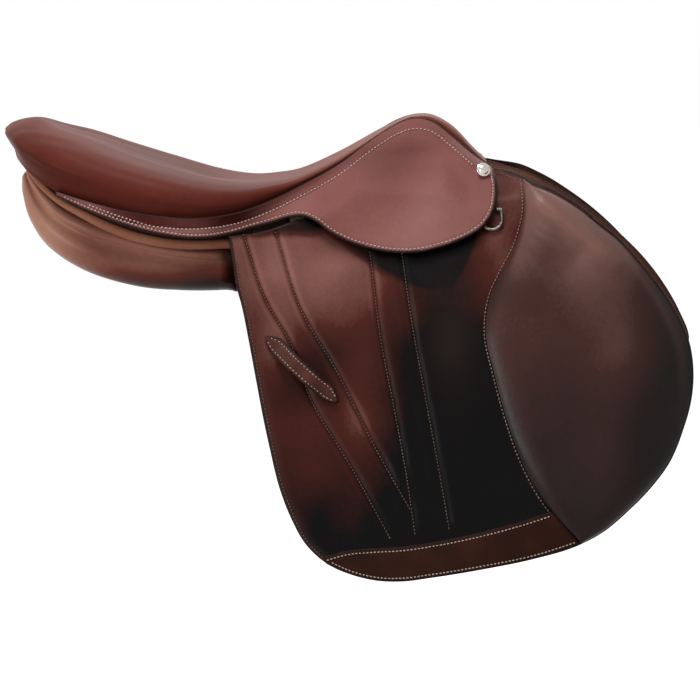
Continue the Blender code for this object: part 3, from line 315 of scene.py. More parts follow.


# Dyed cowhide with a wax finish: mottled dye, pores, fine creases and a soft uneven gloss.
# The piece's tone attribute chooses the dye's depth, and on some pieces carries painted light and shade; its
# second attribute greys it, as wear and as painted sheen.
def leather(name, stops, grain, relief, rough, gloss):
    material, tree, shader = newMaterial(name, {
        "IOR": 1.45, "Specular IOR Level": gloss,
        "Sheen Weight": 0.01, "Sheen Roughness": 0.45, "Sheen Tint": linear("d8b4b8"),
    })
    place = addNode(tree, "TexCoord", output="Object")
    tone = addNode(tree, "Attribute", settings={"attribute_name": "tone"}, output="Fac")
    wearAndSheen = addNode(tree, "Attribute", settings={"attribute_name": "wearAndSheen"}, output="Fac")
    cloud, fleck, crease = (addNode(tree, "TexNoise", {
        "Vector": place, "Scale": 1 / (size * mm), "Detail": detail, "Roughness": fine, "Distortion": bend,
    }, output="Fac") for size, detail, fine, bend in ((45, 5, 0.55, 0), (3.5, 3, 0.6, 0), (9, 6, 0.62, 0.6)))
    pores = addNode(tree, "TexVoronoi", {
        "Vector": place, "Scale": 1 / (grain * mm), "Smoothness": 0.35}, {"feature": "SMOOTH_F1"}, "Distance")
    # tone, moved a little by the clouds and flecks of the dye
    mottled = addNode(tree, "Math", (cloud, 0.24, addNode(tree, "Math", (tone, -0.18))), scaled)
    mottled = addNode(tree, "Math", (fleck, 0.12, mottled), scaled)
    toned = addNode(tree, "ValToRGB", (mottled,), stops=tuple(zip((0.0, 0.5, 1.0), stops)))
    # greyed towards grey-pink where worn, and as painted sheen and highlight
    greyShare = addNode(tree, "Math", (wearAndSheen, 0.55), {"operation": "MULTIPLY"})
    greyed = addNode(tree, "Mix", {"Factor": greyShare, 6: toned, 7: linear("8a6a64")}, {"data_type": "RGBA"}, 2)
    # the gloss follows the clouds over most of its range, and is duller where greyed and where flecked
    low, high = rough
    dull = addNode(tree, "Math", (cloud, 0.7 * (high - low), low + 0.15 * (high - low) - 0.04), scaled)
    dull = addNode(tree, "Math", (wearAndSheen, 0.12, dull), scaled)
    dull = addNode(tree, "Math", (fleck, 0.08, dull), scaled)
    dress(tree, shader, greyed, dull, (pores, 0.55, relief), (crease, 0.5, 3 * relief))
    return material


# Burnished and inked cut edge: dark and waxy, with fine grey specks.
def edgeInk():
    material, tree, shader = newMaterial("burnishedEdge", {"IOR": 1.45, "Specular IOR Level": 0.1})
    place = addNode(tree, "TexCoord", output="Object")
    noise = addNode(tree, "TexNoise", {"Vector": place, "Scale": 1 / (2 * mm), "Detail": 4}, output="Fac")
    colour = addNode(tree, "ValToRGB", (noise,), stops=((0.3, "150c0a"), (0.75, "42302a")))
    dress(tree, shader, colour, addNode(tree, "Math", (noise, 0.3, 0.38), scaled), (noise, 0.4, 0.15))
    return material


# Waxed linen thread: a twist with a turn about each millimetre, and soiled hollows.
# The bands of a wave texture come at about a third of one over its scale.
def thread(name, light, dark):
    material, tree, shader = newMaterial(name, {"IOR": 1.5, "Specular IOR Level": 0.3})
    place = addNode(tree, "TexCoord", output="Object")
    twist = addNode(tree, "TexWave", {
        "Vector": place, "Scale": 1 / (3 * mm), "Distortion": 1.0, "Detail": 1.0,
    }, {"bands_direction": "DIAGONAL"}, "Fac")
    soil = addNode(tree, "TexNoise", {"Vector": place, "Scale": 1 / (12 * mm), "Detail": 3}, output="Fac")
    soiled = addNode(tree, "Math", (soil, 0.75), {"operation": "MULTIPLY"})
    mixed = addNode(tree, "Math", (twist, 0.35, soiled), scaled)
    colour = addNode(tree, "ValToRGB", (mixed,), stops=((0.2, dark), (0.75, light)))
    dress(tree, shader, colour, addNode(tree, "Math", (soil, 0.2, 0.5), scaled), (twist, 0.5, 0.1))
    return material


# Plated or spring steel: a base tone with handling marks, brushed along x where stretched.
def metal(name, light, dark, rough, stretch):
    material, tree, shader = newMaterial(name, {"Metallic": 1.0})
    place = addNode(tree, "TexCoord", output="Object")
    drawn = addNode(tree, "Mapping", {"Vector": place, "Scale": stretch})
    noise = addNode(tree, "TexNoise", {"Vector": drawn, "Scale": 1 / (1.2 * mm), "Detail": 4}, output="Fac")
    colour = addNode(tree, "ValToRGB", (noise,), stops=((0.3, dark), (0.7, light)))
    dress(tree, shader, colour, addNode(tree, "Math", (noise, 0.14, rough), scaled), (noise, 0.2, 0.02))
    return material


# Laminated beech: veneers 1.5 mm thick, short brown flecks along the grain, a thin varnish.
def beechPly():
    material, tree, shader = newMaterial(
        "laminatedBeech", {"IOR": 1.5, "Coat Weight": 0.25, "Coat Roughness": 0.2})
    place = addNode(tree, "TexCoord", output="Object")
    drawn = addNode(tree, "Mapping", {"Vector": place, "Scale": (0.12, 1.0, 1.0)})
    fleck = addNode(tree, "TexNoise", {"Vector": drawn, "Scale": 1 / (1.6 * mm), "Detail": 5}, output="Fac")
    layers = addNode(tree, "TexWave", {
        "Vector": place, "Scale": 1 / (4.8 * mm), "Distortion": 0.6, "Detail": 1.0,
    }, {"bands_direction": "Z"}, "Fac")
    flecked = addNode(tree, "Math", (fleck, 0.8), {"operation": "MULTIPLY"})
    mixed = addNode(tree, "Math", (layers, 0.3, flecked), scaled)
    colour = addNode(tree, "ValToRGB", (mixed,), stops=((0.25, "8a623f"), (0.6, "b98c62"), (0.9, "d0a87e")))
    dress(tree, shader, colour, addNode(tree, "Math", (fleck, 0.2, 0.38), scaled), (fleck, 0.3, 0.1))
    return material


# Linen tree web: yarns 1.4 mm apart woven over and under, matt and a little fuzzy.
def wovenWeb():
    material, tree, shader = newMaterial(
        "linenWeb", {"IOR": 1.5, "Specular IOR Level": 0.2, "Sheen Weight": 0.3})
    place = addNode(tree, "TexCoord", output="Object")
    yarns = [addNode(tree, "TexWave", {"Vector": place, "Scale": 1 / (4.4 * mm), "Distortion": 0.4},
                     {"bands_direction": way}, "Fac") for way in "XY"]
    weave = addNode(tree, "Math", yarns, {"operation": "MAXIMUM"})
    colour = addNode(tree, "ValToRGB", (weave,), stops=((0.2, "8f826a"), (0.9, "cfc3a9")))
    dress(tree, shader, colour, addNode(tree, "Math", (weave, 0.1, 0.82), scaled), (weave, 0.6, 0.3))
    return material


hides = {name: leather(name, *looks) for name, looks in leathers.items()}
edge = edgeInk()
paleThread = thread("linenThread", "dccbc0", "b89f94")
fawnThread = thread("fawnThread", "b09483", "6a4c40")
darkThread = thread("brownThread", "8f6c5d", "2e1c17")
nickel = metal("polishedNickel", "d8d4ce", "a39d96", 0.12, (1, 1, 1))
# a darker copy of the nickel: painted shade for the dee, which sits in shadow under the skirt
shadedNickel = metal("shadedNickel", "8a837c", "3b3531", 0.22, (1, 1, 1))
steel = metal("springSteel", "a9abb0", "808388", 0.30, (0.05, 1, 1))
beech = beechPly()
web = wovenWeb()
print("stage: materials made")


# Quads of a grid of vertices, row after row.
def gridFaces(rows, columns, start=0):
    index = np.arange(rows * columns).reshape(rows, columns) + start
    return np.stack([index[:-1, :-1], index[:-1, 1:], index[1:, 1:], index[1:, :-1]], -1)


# The grid's border vertices in order round it.
def borderOf(rows, columns):
    index = np.arange(rows * columns).reshape(rows, columns)
    return np.r_[index[0, :-1], index[:-1, -1], index[-1, :0:-1], index[:0:-1, 0]]


# Makes the mesh object: points in millimetres, quads or polygons, one material kind per face.
# spread holds arrays of a value per vertex, kept as attributes for the materials.
def addPiece(name, points, faces, materials, body=None, faceKind=None, spread=None, hidden=()):
    mesh = bpy.data.meshes.new(name)
    mesh.from_pydata((np.asarray(points) * mm).tolist(), [], [list(map(int, f)) for f in faces])
    for material in materials:
        mesh.materials.append(material)
    if faceKind is not None:
        mesh.polygons.foreach_set("material_index", np.asarray(faceKind, np.int32))
    for key in ("tone", "wearAndSheen"):
        values = (spread or {}).get(key, 0.5 if key == "tone" else 0.0)
        layer = mesh.attributes.new(key, "FLOAT", "POINT")
        layer.data.foreach_set("value", np.broadcast_to(values, len(points)).astype(np.float32).copy())
    build = bmesh.new()
    build.from_mesh(mesh)
    bmesh.ops.recalc_face_normals(build, faces=build.faces[:])
    build.to_mesh(mesh)
    build.free()
    mesh.shade_smooth()
    piece = bpy.data.objects.new(name, mesh)
    bpy.context.scene.collection.objects.link(piece)
    if body:
        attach(piece, body)
    if hidden:
        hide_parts(*hidden)
    return piece


# Points of the right half, then their mirror images back from the centre line, met only once.
def wholeOf(half):
    return np.concatenate([half, (half * np.array([1, -1, 1]))[::-1][1:]])


# The right side's points, or their mirror image for the left.
def mirrored(points, hand):
    return points if hand == "R" else points * np.array([1, -1, 1])


# A piece of one side, made for the right: its name and the nodes it hides end in the hand.
def addSided(name, hand, points, faces, materials, slot, body=None, faceKind=None, spread=None, hidden=()):
    return addPiece(f"{name}_{hand}", mirrored(points, hand), faces, materials, body, faceKind, spread,
                    [f"{node}_{hand}" for node in hidden])


# A closed sheet from its two faces: grids joined round the rim by a half-round edge.
# Each ring of the rim is the middle of the border plus half the thickness times the cosine,
# plus bulge times the sine, pointing out of the sheet. opening is a mask of quads left out,
# with walls round it. Gives points, quads and their kind: 0 front, 1 back, 2 edge.
def shell(front, back, bulge, rings=3, opening=None):
    rows, columns = front.shape[:2]
    count = rows * columns
    border = borderOf(rows, columns)
    a, b = front.reshape(-1, 3)[border], back.reshape(-1, 3)[border]
    way = np.roll(a, -1, 0) - np.roll(a, 1, 0)
    out = np.cross(way, a - b)
    out /= np.maximum(np.linalg.norm(out, axis=1, keepdims=True), 1e-9)
    out *= np.sign((out * (a - a.mean(0))).sum())
    loops = [border]
    extra = []
    for k in range(1, rings + 1):
        turn = math.pi * k / (rings + 1)
        extra.append((a + b) / 2 + (a - b) / 2 * math.cos(turn) + out * bulge * math.sin(turn))
        loops.append(2 * count + (k - 1) * len(border) + np.arange(len(border)))
    loops.append(border + count)
    quads, kinds = [], []
    keep = np.ones((rows - 1, columns - 1), bool) if opening is None else ~opening
    for kind, start in ((0, 0), (1, count)):
        cells = gridFaces(rows, columns, start)[keep]
        quads.append(cells)
        kinds.append(np.full(len(cells), kind))
    for low, high in zip(loops, loops[1:]):
        cells = np.stack([low, np.roll(low, -1), np.roll(high, -1), high], 1)
        quads.append(cells)
        kinds.append(np.full(len(cells), 2))
    if opening is not None:
        index = np.arange(count).reshape(rows, columns)
        i, j = np.nonzero(opening[:, 1:] != opening[:, :-1])
        upright = np.stack([index[i, j + 1], index[i + 1, j + 1]], 1)
        i, j = np.nonzero(opening[1:] != opening[:-1])
        level = np.stack([index[i + 1, j], index[i + 1, j + 1]], 1)
        ends = np.concatenate([upright, level])
        quads.append(np.stack([ends[:, 0], ends[:, 1], ends[:, 1] + count, ends[:, 0] + count], 1))
        kinds.append(np.full(len(ends), 2))
    points = np.concatenate([front.reshape(-1, 3), back.reshape(-1, 3), *extra])
    return points, np.concatenate(quads), np.concatenate(kinds)


# Quads between rings of vertices, each ring closed on itself.
def ringFaces(rings):
    low, high = rings[:-1], rings[1:]
    return np.stack([low, np.roll(low, -1, 1), np.roll(high, -1, 1), high], -1).reshape(-1, 4)


# Gives the edge finish to the front faces nearer the rim than a width; kept marks those there are.
def inkRim(kinds, rim, width, kept=None):
    cell = (rim[:-1, :-1] + rim[1:, 1:]) / 2
    cell = cell.ravel() if kept is None else cell[kept]
    kinds = kinds.copy()
    kinds[:cell.size] = np.where(cell < width, 2, kinds[:cell.size])
    return kinds


# A front grid's values for every vertex of its shell: front, back, and the rim's rings.
def overShell(values, rings, border):
    flat = values.ravel()
    return np.concatenate([flat, flat, *[flat[border]] * rings])


# A round cord: circles square to the path, in frames carried along it. Gives points and faces.
def tubeAlong(path, radius, around=16, closed=False):
    way = np.roll(path, -1, 0) - np.roll(path, 1, 0) if closed else np.gradient(path, axis=0)
    way /= np.linalg.norm(way, axis=1, keepdims=True)
    guide = np.array([0.0, 0.0, 1.0])
    first = np.cross(way, guide)
    first /= np.maximum(np.linalg.norm(first, axis=1, keepdims=True), 1e-9)
    second = np.cross(first, way)
    turn = np.linspace(0, 2 * math.pi, around, endpoint=False)
    radius = np.broadcast_to(np.asarray(radius, float), len(path))[:, None, None]
    rings = path[:, None] + radius * (
        np.cos(turn)[None, :, None] * first[:, None] + np.sin(turn)[None, :, None] * second[:, None])
    count = len(path)
    index = np.arange(count * around).reshape(count, around)
    nextRing = np.roll(index, -1, 0) if closed else index[1:]
    low = index if closed else index[:-1]
    quads = np.stack([low, np.roll(low, -1, 1), np.roll(nextRing, -1, 1), nextRing], -1).reshape(-1, 4)
    faces = quads.tolist()
    if not closed:
        faces += [index[0][::-1].tolist(), index[-1].tolist()]
    return rings.reshape(-1, 3), faces


# Thread between its holes: short spindles along a path, ends dipping into the leather.
# Each is six-sided: five rings whose radius and height follow fixed shares of its length.
def stitches(path, normals, pitch=3.5, length=2.1, width=0.62, sink=-0.15):
    run = np.r_[0, np.cumsum(np.linalg.norm(np.diff(path, axis=0), axis=1))]
    count = max(2, int(run[-1] / pitch))
    at = (np.arange(count) + 0.5) * run[-1] / count
    pick = lambda table, where: np.stack([np.interp(where, run, table[:, k]) for k in range(3)], 1)
    middle, way, up = pick(path, at), pick(path, at + 0.8) - pick(path, at - 0.8), pick(normals, at)
    way /= np.linalg.norm(way, axis=1, keepdims=True)
    up /= np.linalg.norm(up, axis=1, keepdims=True)
    across = np.cross(way, up)
    along = np.array([-0.5, -0.36, 0.0, 0.36, 0.5]) * length
    swell = np.array([0.35, 0.85, 1.0, 0.85, 0.35]) * width
    height = np.array([-0.55, 0.2, 0.6, 0.2, -0.55]) * width - sink * width
    turn = np.linspace(0, 2 * math.pi, 6, endpoint=False)
    ring = (swell[:, None] * np.cos(turn), height[:, None] + swell[:, None] * np.sin(turn))
    points = (middle[:, None, None] + along[None, :, None, None] * way[:, None, None]
              + ring[0][None, ..., None] * across[:, None, None]
              + ring[1][None, ..., None] * up[:, None, None])
    one = np.arange(30).reshape(5, 6)
    quads = ringFaces(one)
    caps = np.array([[0, 5, 4, 3], [0, 3, 2, 1], [24, 25, 26, 27], [24, 27, 28, 29]])
    cells = np.concatenate([quads, caps])
    faces = (cells[None] + 30 * np.arange(count)[:, None, None]).reshape(-1, 4)
    return points.reshape(-1, 3), faces


# Several (points, faces) as one, with the face numbers moved on.
def joined(parts):
    points, faces, start = [], [], 0
    for p, f in parts:
        points.append(p)
        faces.append(np.asarray(f) + start)
        start += len(p)
    return np.concatenate(points), np.concatenate(faces)


# Unit normals of a grid of points, turned to the given direction.
def gridNormals(grid, toward):
    normal = np.cross(np.gradient(grid, axis=0), np.gradient(grid, axis=1))
    normal /= np.maximum(np.linalg.norm(normal, axis=-1, keepdims=True), 1e-9)
    return normal * np.sign((normal @ np.asarray(toward, float)))[..., None]


# The seat's stations with their spokes: from the centre line out to the welt, seen from above.
def spokes():
    rows = seat["stations"]
    start = np.stack([rows[:, 3], np.zeros(len(rows))], 1)
    spoke = rows[:, :2] - start
    length = np.linalg.norm(spoke, axis=1)
    return rows, start, spoke / length[:, None], length


# The seat's top: t from pommel (0) to cantle (1), s from the centre line (0) to the welt (1).
# Along each spoke a smooth curve leaves the centre line level, rises to the crest, rolls over
# it, stands a little proud of the welt and comes back in to meet it. The sides fall from a crest
# near the centre; the cantle stays high and is cut under.
def seatTop(t, s):
    rows, start, way, length = spokes()
    centre, crest, rim = rows[:, 4], rows[:, 5], rows[:, 2]
    proud = np.array(seat["overhang"])
    toCantle = ease(np.arange(len(rows)), *seat["cantleFrom"])[:, None, None]
    shape = seat["sideShape"] * (1 - toCantle) + seat["cantleShape"] * toCantle
    knots = np.array([0, 0.30, *seat["sideShape"][:, 0], 1.0])
    reach = np.column_stack([0 * length, 0.32 * length,
                             shape[..., 1] * length[:, None] + shape[..., 2] * proud[:, None], length])
    height = np.column_stack([centre, centre + 0.5 * (crest - centre),
                              crest[:, None] - shape[..., 3] * (crest - rim)[:, None], rim + 0.2])
    at = np.linspace(0, 1, len(rows))
    plan = smoothEach(knots, smooth(at, reach, t), s)
    up = smoothEach(knots, smooth(at, height, t), s)
    flat = smooth(at, start, t) + smooth(at, way, t) * plan[..., None]
    return np.stack([flat[..., 0], -flat[..., 1], up], -1)


# The foam's underside: from its own height at the centre line up to just under the welt's level.
def seatUnder(t, s):
    rows, start, way, length = spokes()
    at = np.linspace(0, 1, len(rows))
    begin, along = smooth(at, start, t), smooth(at, way, t)
    low = smooth(at, rows[:, 6], t)
    rim = smooth(at, rows[:, 2], t)
    high = rim + np.interp(t, seat["foamEdgeAt"], seat["foamEdge"])
    up = low + (high - low) * s**1.5
    up += (rim - 1.2 - high) * ease(s, 0.86, 1)
    flat = begin + along * (smooth(at, length, t) * s)[..., None]
    return np.stack([flat[..., 0], -flat[..., 1], up], -1)


# One closed cushion: the top's spokes round the saddle, over the underside's, sewn at the rim.
def makeSeat():
    t, s = np.meshgrid(np.linspace(0, 1, seat["rows"]), np.linspace(0, 1, seat["columns"]), indexing="ij")
    top, under = wholeOf(seatTop(t, s)), wholeOf(seatUnder(t, s))
    normal = gridNormals(top, (0, 0, 1))
    x, y, z = top[..., 0], top[..., 1], top[..., 2]
    share = np.concatenate([s, s[::-1][1:]])
    # the leather sits a little unevenly over the foam, and draws in fine folds below the cantle
    uneven = 0.5 * waves(top, 150, 3) * ease(share, 0.05, 0.3) * (1 - ease(share, 0.9, 1))
    folds = 0.35 * waves(np.stack([x * 0.4, y * 2.2, z * 0.4], -1), 46, 8)
    folds *= ease(-x, 120, 190) * ease(share, 0.6, 0.8)
    top = top + normal * ((uneven + folds * (1 - ease(share, 0.94, 1)))[..., None])
    points = np.concatenate([top.reshape(-1, 3), under.reshape(-1, 3)])
    rows, columns = top.shape[:2]
    faces = np.concatenate([gridFaces(rows, columns).reshape(-1, 4),
                            gridFaces(rows, columns, rows * columns).reshape(-1, 4)])
    index = np.arange(rows * columns).reshape(rows, columns)
    walls = []
    for line in (index[:, -1], index[0], index[-1]):
        under = line + rows * columns
        walls.append(np.stack([line[:-1], line[1:], under[1:], under[:-1]], 1))
    faces = np.concatenate([faces, *walls])
    tone = 0.52 + 0.10 * waves(top, 130, 5) + 0.50 * bump(x, 110, 80)
    tone -= 0.04 * ease(share, 0.7, 1) * ease(-x, 60, 160)
    tone += 0.12 * bump(x, -60, 70) * bump(share, 0.4, 0.4)
    wearAndSheen = 0.15 * bump(share, 0.78, 0.12) + 0.1 * bump(x, -20, 70) * (1 - share)
    piece = addPiece("seat", points, faces, [hides["seatCalf"]], None, None,
                     {"tone": np.r_[tone.ravel(), tone.ravel()], "wearAndSheen": np.r_[wearAndSheen.ravel(), wearAndSheen.ravel()]})
    build = bmesh.new()
    build.from_mesh(piece.data)
    bmesh.ops.remove_doubles(build, verts=build.verts[:], dist=1e-6)
    bmesh.ops.recalc_face_normals(build, faces=build.faces[:])
    build.to_mesh(piece.data)
    build.free()
    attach(piece, "saddle")
    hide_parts("seat_cover", "seat_foam")
    return piece


makeSeat()
print("stage: seat made")


flap = {
    "thickness": 5.0,
    "rows": 170,
    "columns": 230,
    "rimBulge": 1.3,
    "inkBand": 2.6,
    "hinge": ((-39, 7), (281, 60)),
    "tuck": (30.0, (80, 114), (188, 230)),  # how far its front corner bends in, over which z and x
    "top": (
        (-47, 49.5), (-28, 51), (-12, 54), (6, 60), (30, 68), (60, 81), (88, 94), (112, 102),
        (138, 99), (160, 94), (176, 99), (189, 105.7), (197.4, 104.5), (210.6, 100.7), (220.5, 95.9),
        (232.1, 92), (245.4, 85.5), (262, 75.2), (272, 67.5),
    ),
    "outline": (
        (-47, 49.5), (-43, 29), (-39, 7), (-35, -6), (-28, -36), (-21, -69), (-14, -102), (-8, -127),
        (1, -160), (11, -184), (23, -204), (40, -219), (64, -229), (85, -233), (106, -233),
        (132, -229), (174, -221), (216, -212), (257, -200), (277, -190), (298, -174), (318, -156),
        (335, -136), (348, -109), (355, -88), (358, -64), (355.5, -39), (348, -19), (339.5, -4.2),
        (328.1, 11.9), (311.5, 32.1), (295.2, 49.7), (280, 61.4), (272, 67.5),
    ),
    "seams": (
        ((-34.5, 53), (-14, -3), (9, -41), (27, -86), (63, -142), (96, -198)),
        ((-6.5, 54), (17, -12), (48, -61), (79, -118), (113, -174)),
        ((77, 38), (87, -36), (99, -93), (110, -149), (117, -194)),
        ((104.5, 40), (115, -27), (126, -84), (137, -140), (146, -189)),
    ),
    # the painted shade under the skirt's lobe ends along this line
    "lobeShadeLine": (
        (20, 62), (37, 55), (60, 39), (87, 21), (110, 13), (131, 10), (150, 13), (163, 34), (173, 56)),
    "barAt": (131, 62),
    "window": ((-50, 38), 13.5),  # its ends along the bar, and half its height
    "bend": 9.0,  # width of the band of leather at the hinge
    # spots: x and its width, z and its width, and the amount
    "swell": ((138, 34, -2, 22, 2.2),),  # over the bar and the leather's buckle
    # spots that tone it: warm dye patches and darker places round the keeper and low down; the lighter spots
    # at (22, 0) and (44, 26) are painted highlight
    "toned": (
        (-8, 16, -60, 120, 0.20), (68, 20, -96, 26, 0.26), (20, 24, -130, 34, 0.20), (78, 16, -140, 30, 0.14),
        (40, 20, -50, 28, -0.26), (4, 24, -76, 28, -0.22), (55, 40, -205, 26, -0.16), (22, 24, 0, 40, 0.16),
        (44, 22, 26, 10, 0.10),
    ),
    # painted sheen: greyed spots for the highlight high on the rear and a soft sheen in the dark middle
    "paintedSheen": ((48, 34, 26, 16, 0.12), (148, 20, -30, 40, 0.10)),
}
pad = {
    "seam": (
        (212, 99), (212, 70), (204, 44), (191, 20), (182, 1), (178, -26), (186, -66), (195, -98),
        (207, -131), (220, -156), (233, -174), (246, -188), (255, -195.5),
    ),
    "rim": (
        (222, 92.6), (231, 90), (244.3, 83.8), (261, 73.4), (277.5, 60.4), (293.9, 47.7), (310, 30.4),
        (326.5, 10.5), (337.8, -5.4), (346, -20), (353.6, -40), (355.8, -64), (353, -88), (346.2, -108.6),
        (333.2, -135), (316.5, -154.4), (296.8, -172.4), (276.2, -188.2), (258, -197.8),
    ),
    "ridge": ((228, 82), (246, 70), (268, 52), (290, 30)),
    "crown": 12.0,
    # spots of painted light: highlights high at the front edge, down the middle and by the front rim, and
    # painted shade in the hollow below the ridge
    "toned": (
        (292, 30, 0, 40, 0.10), (236, 10, 78, 9, 0.20), (262, 22, 12, 34, 0.14), (234, 20, 44, 20, -0.20),
    ),
    # painted sheen over the ridge
    "paintedSheen": ((245, 30, 50, 30, 0.10),),
    "rows": 110,
    "columns": 240,
}
patch = {
    "upper": (
        (38, -214.5), (59, -208.5), (82, -206), (106, -204), (140, -198), (174, -190), (210, -180),
        (233, -172.5)),
    "lower": (
        (42, -219), (66, -228), (85, -231.5), (106, -231.5), (132, -227.5), (174, -219.5), (216, -210.5),
        (256, -198.5)),
    "thickness": 1.6,
    "lift": 0.5,  # over the flap
    "rows": 26,
    "columns": 150,
}


# The side's face with the flap's front corner bent in, out by offset.
def onFlap(xz, offset):
    depth, heights, lengths = flap["tuck"]
    points = onSide(xz, offset)
    points[..., 1] += depth * ease(xz[..., 1], *heights) * (1 - ease(xz[..., 0], *lengths))
    return points


# How far the flap's outer face stands over flat leather: quilted between seams, creased at them.
def flapPuff(xz):
    x, z = xz[..., 0], xz[..., 1]
    height = 0.5 * waves(xz, 120, 11) + 0.22 * waves(xz, 48, 12)
    for seam in flap["seams"]:
        away, share = lineDistance(xz, seam)
        ends = ease(share, 0, 0.03) * (1 - ease(share, 0.97, 1))
        height += ends * (0.8 * bump(away, 7, 5) - 1.1 * bump(away, 0, 2.6))
    away, share = lineDistance(xz, pad["seam"])
    height -= 0.9 * bump(away, 0, 2.2)
    height += spotted(x, z, flap["swell"])
    # soft draws that fan out where the stirrup leather bears on the flap
    fan = waves(np.stack([x * 0.6 - z * 0.3, z * 0.9], -1), 46, 21) * bump(x, 10, 60) * bump(z, -10, 60)
    # fine creases across the rear edge
    crossed = waves(np.stack([x * 0.3, z * 2.0], -1), 17, 27)
    crossed *= bump(x + z * 0.2, -36, 14) * ease(z, -110, -30)
    return height + 0.3 * fan + 0.16 * crossed


# Axes on the side at a flat spot: forward along it, up, and out of it.
def sideAxes(spot):
    out = sideNormal(spot[None, 0], spot[None, 1])[0]
    forward = np.array([1, 0, 0]) - out * out[0]
    forward /= np.linalg.norm(forward)
    up = np.cross(out, forward)
    return forward, up * np.sign(up[2]), out


# The whole flap from its top edge over the bend to the hem, with the bar's window in it.
def makeFlap(hand):
    columns, rows = flap["columns"], flap["rows"]
    top = through(flap["top"], columns)
    low = inset(through(flap["outline"], columns), flap["rimBulge"])
    share = (1 - (1 - np.linspace(0, 1, rows)) ** 1.35)[:, None, None]
    xz = top[None] * (1 - share) + low[None] * share
    rim = np.minimum(lineDistance(xz, flap["outline"])[0], 40)
    rim = np.minimum(rim, lineDistance(xz, flap["top"][12:])[0] + flap["rimBulge"])
    height = flapPuff(xz) * ease(rim, 2, 10)
    front = onFlap(xz, flap["thickness"] + height - 1.3 * (1 - ease(rim, 0, 4.5)))
    # skived along the hinge, where the lifted flap comes near the straps' heads
    back = onFlap(xz, 0.9 * ease(xz[..., 1], 16, 30))
    spot = np.array(flap["barAt"], float)
    forward, up, _ = sideAxes(spot)
    middle = (front[:-1, :-1] + front[1:, 1:]) / 2 - onSide(spot[None], 0)[0]
    ends, half = flap["window"]
    opening = ((middle @ forward > ends[0]) & (middle @ forward < ends[1]) & (np.abs(middle @ up) < half)
               & (xz[:-1, :-1, 1] > 20))
    points, faces, kinds = shell(front, back, flap["rimBulge"], 3, opening)
    kinds = inkRim(kinds, rim, flap["inkBand"], ~opening)
    x, z = xz[..., 0], xz[..., 1]
    # tone: warm brown behind and above, darker towards the bottom, near black in the middle front
    tone = 0.67 - 0.26 * ease(-z, -20, 50) - 0.34 * ease(-z, 40, 190)
    # painted shade: near black over the flap's top, where it lies under the skirt's strip
    tone -= 0.75 * ease(z, 46, 57) * (1 - ease(x, 22, 40))
    tone -= 0.72 * ease(x, 56, 156) * (1 - 0.85 * ease(x, 140, 192) * ease(z, -70, 30))
    tone += spotted(x, z, flap["toned"]) + 0.05 * waves(xz, 60, 31)
    # painted shade under the skirt, and the painted shadow just below its lobe
    under = np.interp(x, *np.array(flap["lobeShadeLine"]).T)
    tone -= 0.62 * ease(z - under, -5, 5) * ease(x, 18, 34) * (1 - ease(x, 174, 186))
    # painted shade in each seam's groove, with a painted highlight on the ridge beside it
    for seam in flap["seams"]:
        away, _ = lineDistance(xz, seam)
        tone -= 0.26 * bump(away, 0, 1.5) - 0.10 * bump(away, 4, 1.6)
    # a soft floor, so that the darkest stretch has no hard edge
    tone = 0.5 * (tone + 0.08 + np.sqrt((tone + 0.08) ** 2 + 0.02)) - 0.08
    tone = np.minimum(tone, 1) - 0.35 * (1 - ease(rim, 0.5, 4))
    # greyed in a band inside the rim, and as painted sheen at the flap's sheen spots
    wearAndSheen = 0.12 * bump(rim, 5, 3) + spotted(x, z, flap["paintedSheen"])
    border = borderOf(rows, columns)
    return addSided("flap_leather", hand, points, faces,
                    [hides["flapCalf"], hides["sweatCalf"], edge], "flap_leather", None, kinds,
                    {"tone": overShell(tone, 3, border), "wearAndSheen": overShell(wearAndSheen, 3, border)})


# Works out the direction square to the sheet's hinge line in side view, and bakes the piece's transform.
def hingeBlend(piece, sheet):
    (x0, z0), (x1, z1) = sheet["hinge"]
    down = np.array([z1 - z0, 0, -(x1 - x0)], float)
    down /= np.linalg.norm(down)
    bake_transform(piece)


hands = {"R": "right", "L": "left"}
flapBodies = {hand: ("saddle", f"flap_{word}") for hand, word in hands.items()}
for hand in hands:
    piece = makeFlap(hand)
    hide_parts(f"flap_{hand}", f"flap_top_{hand}")
    hingeBlend(piece, flap)
print("stage: flaps made")


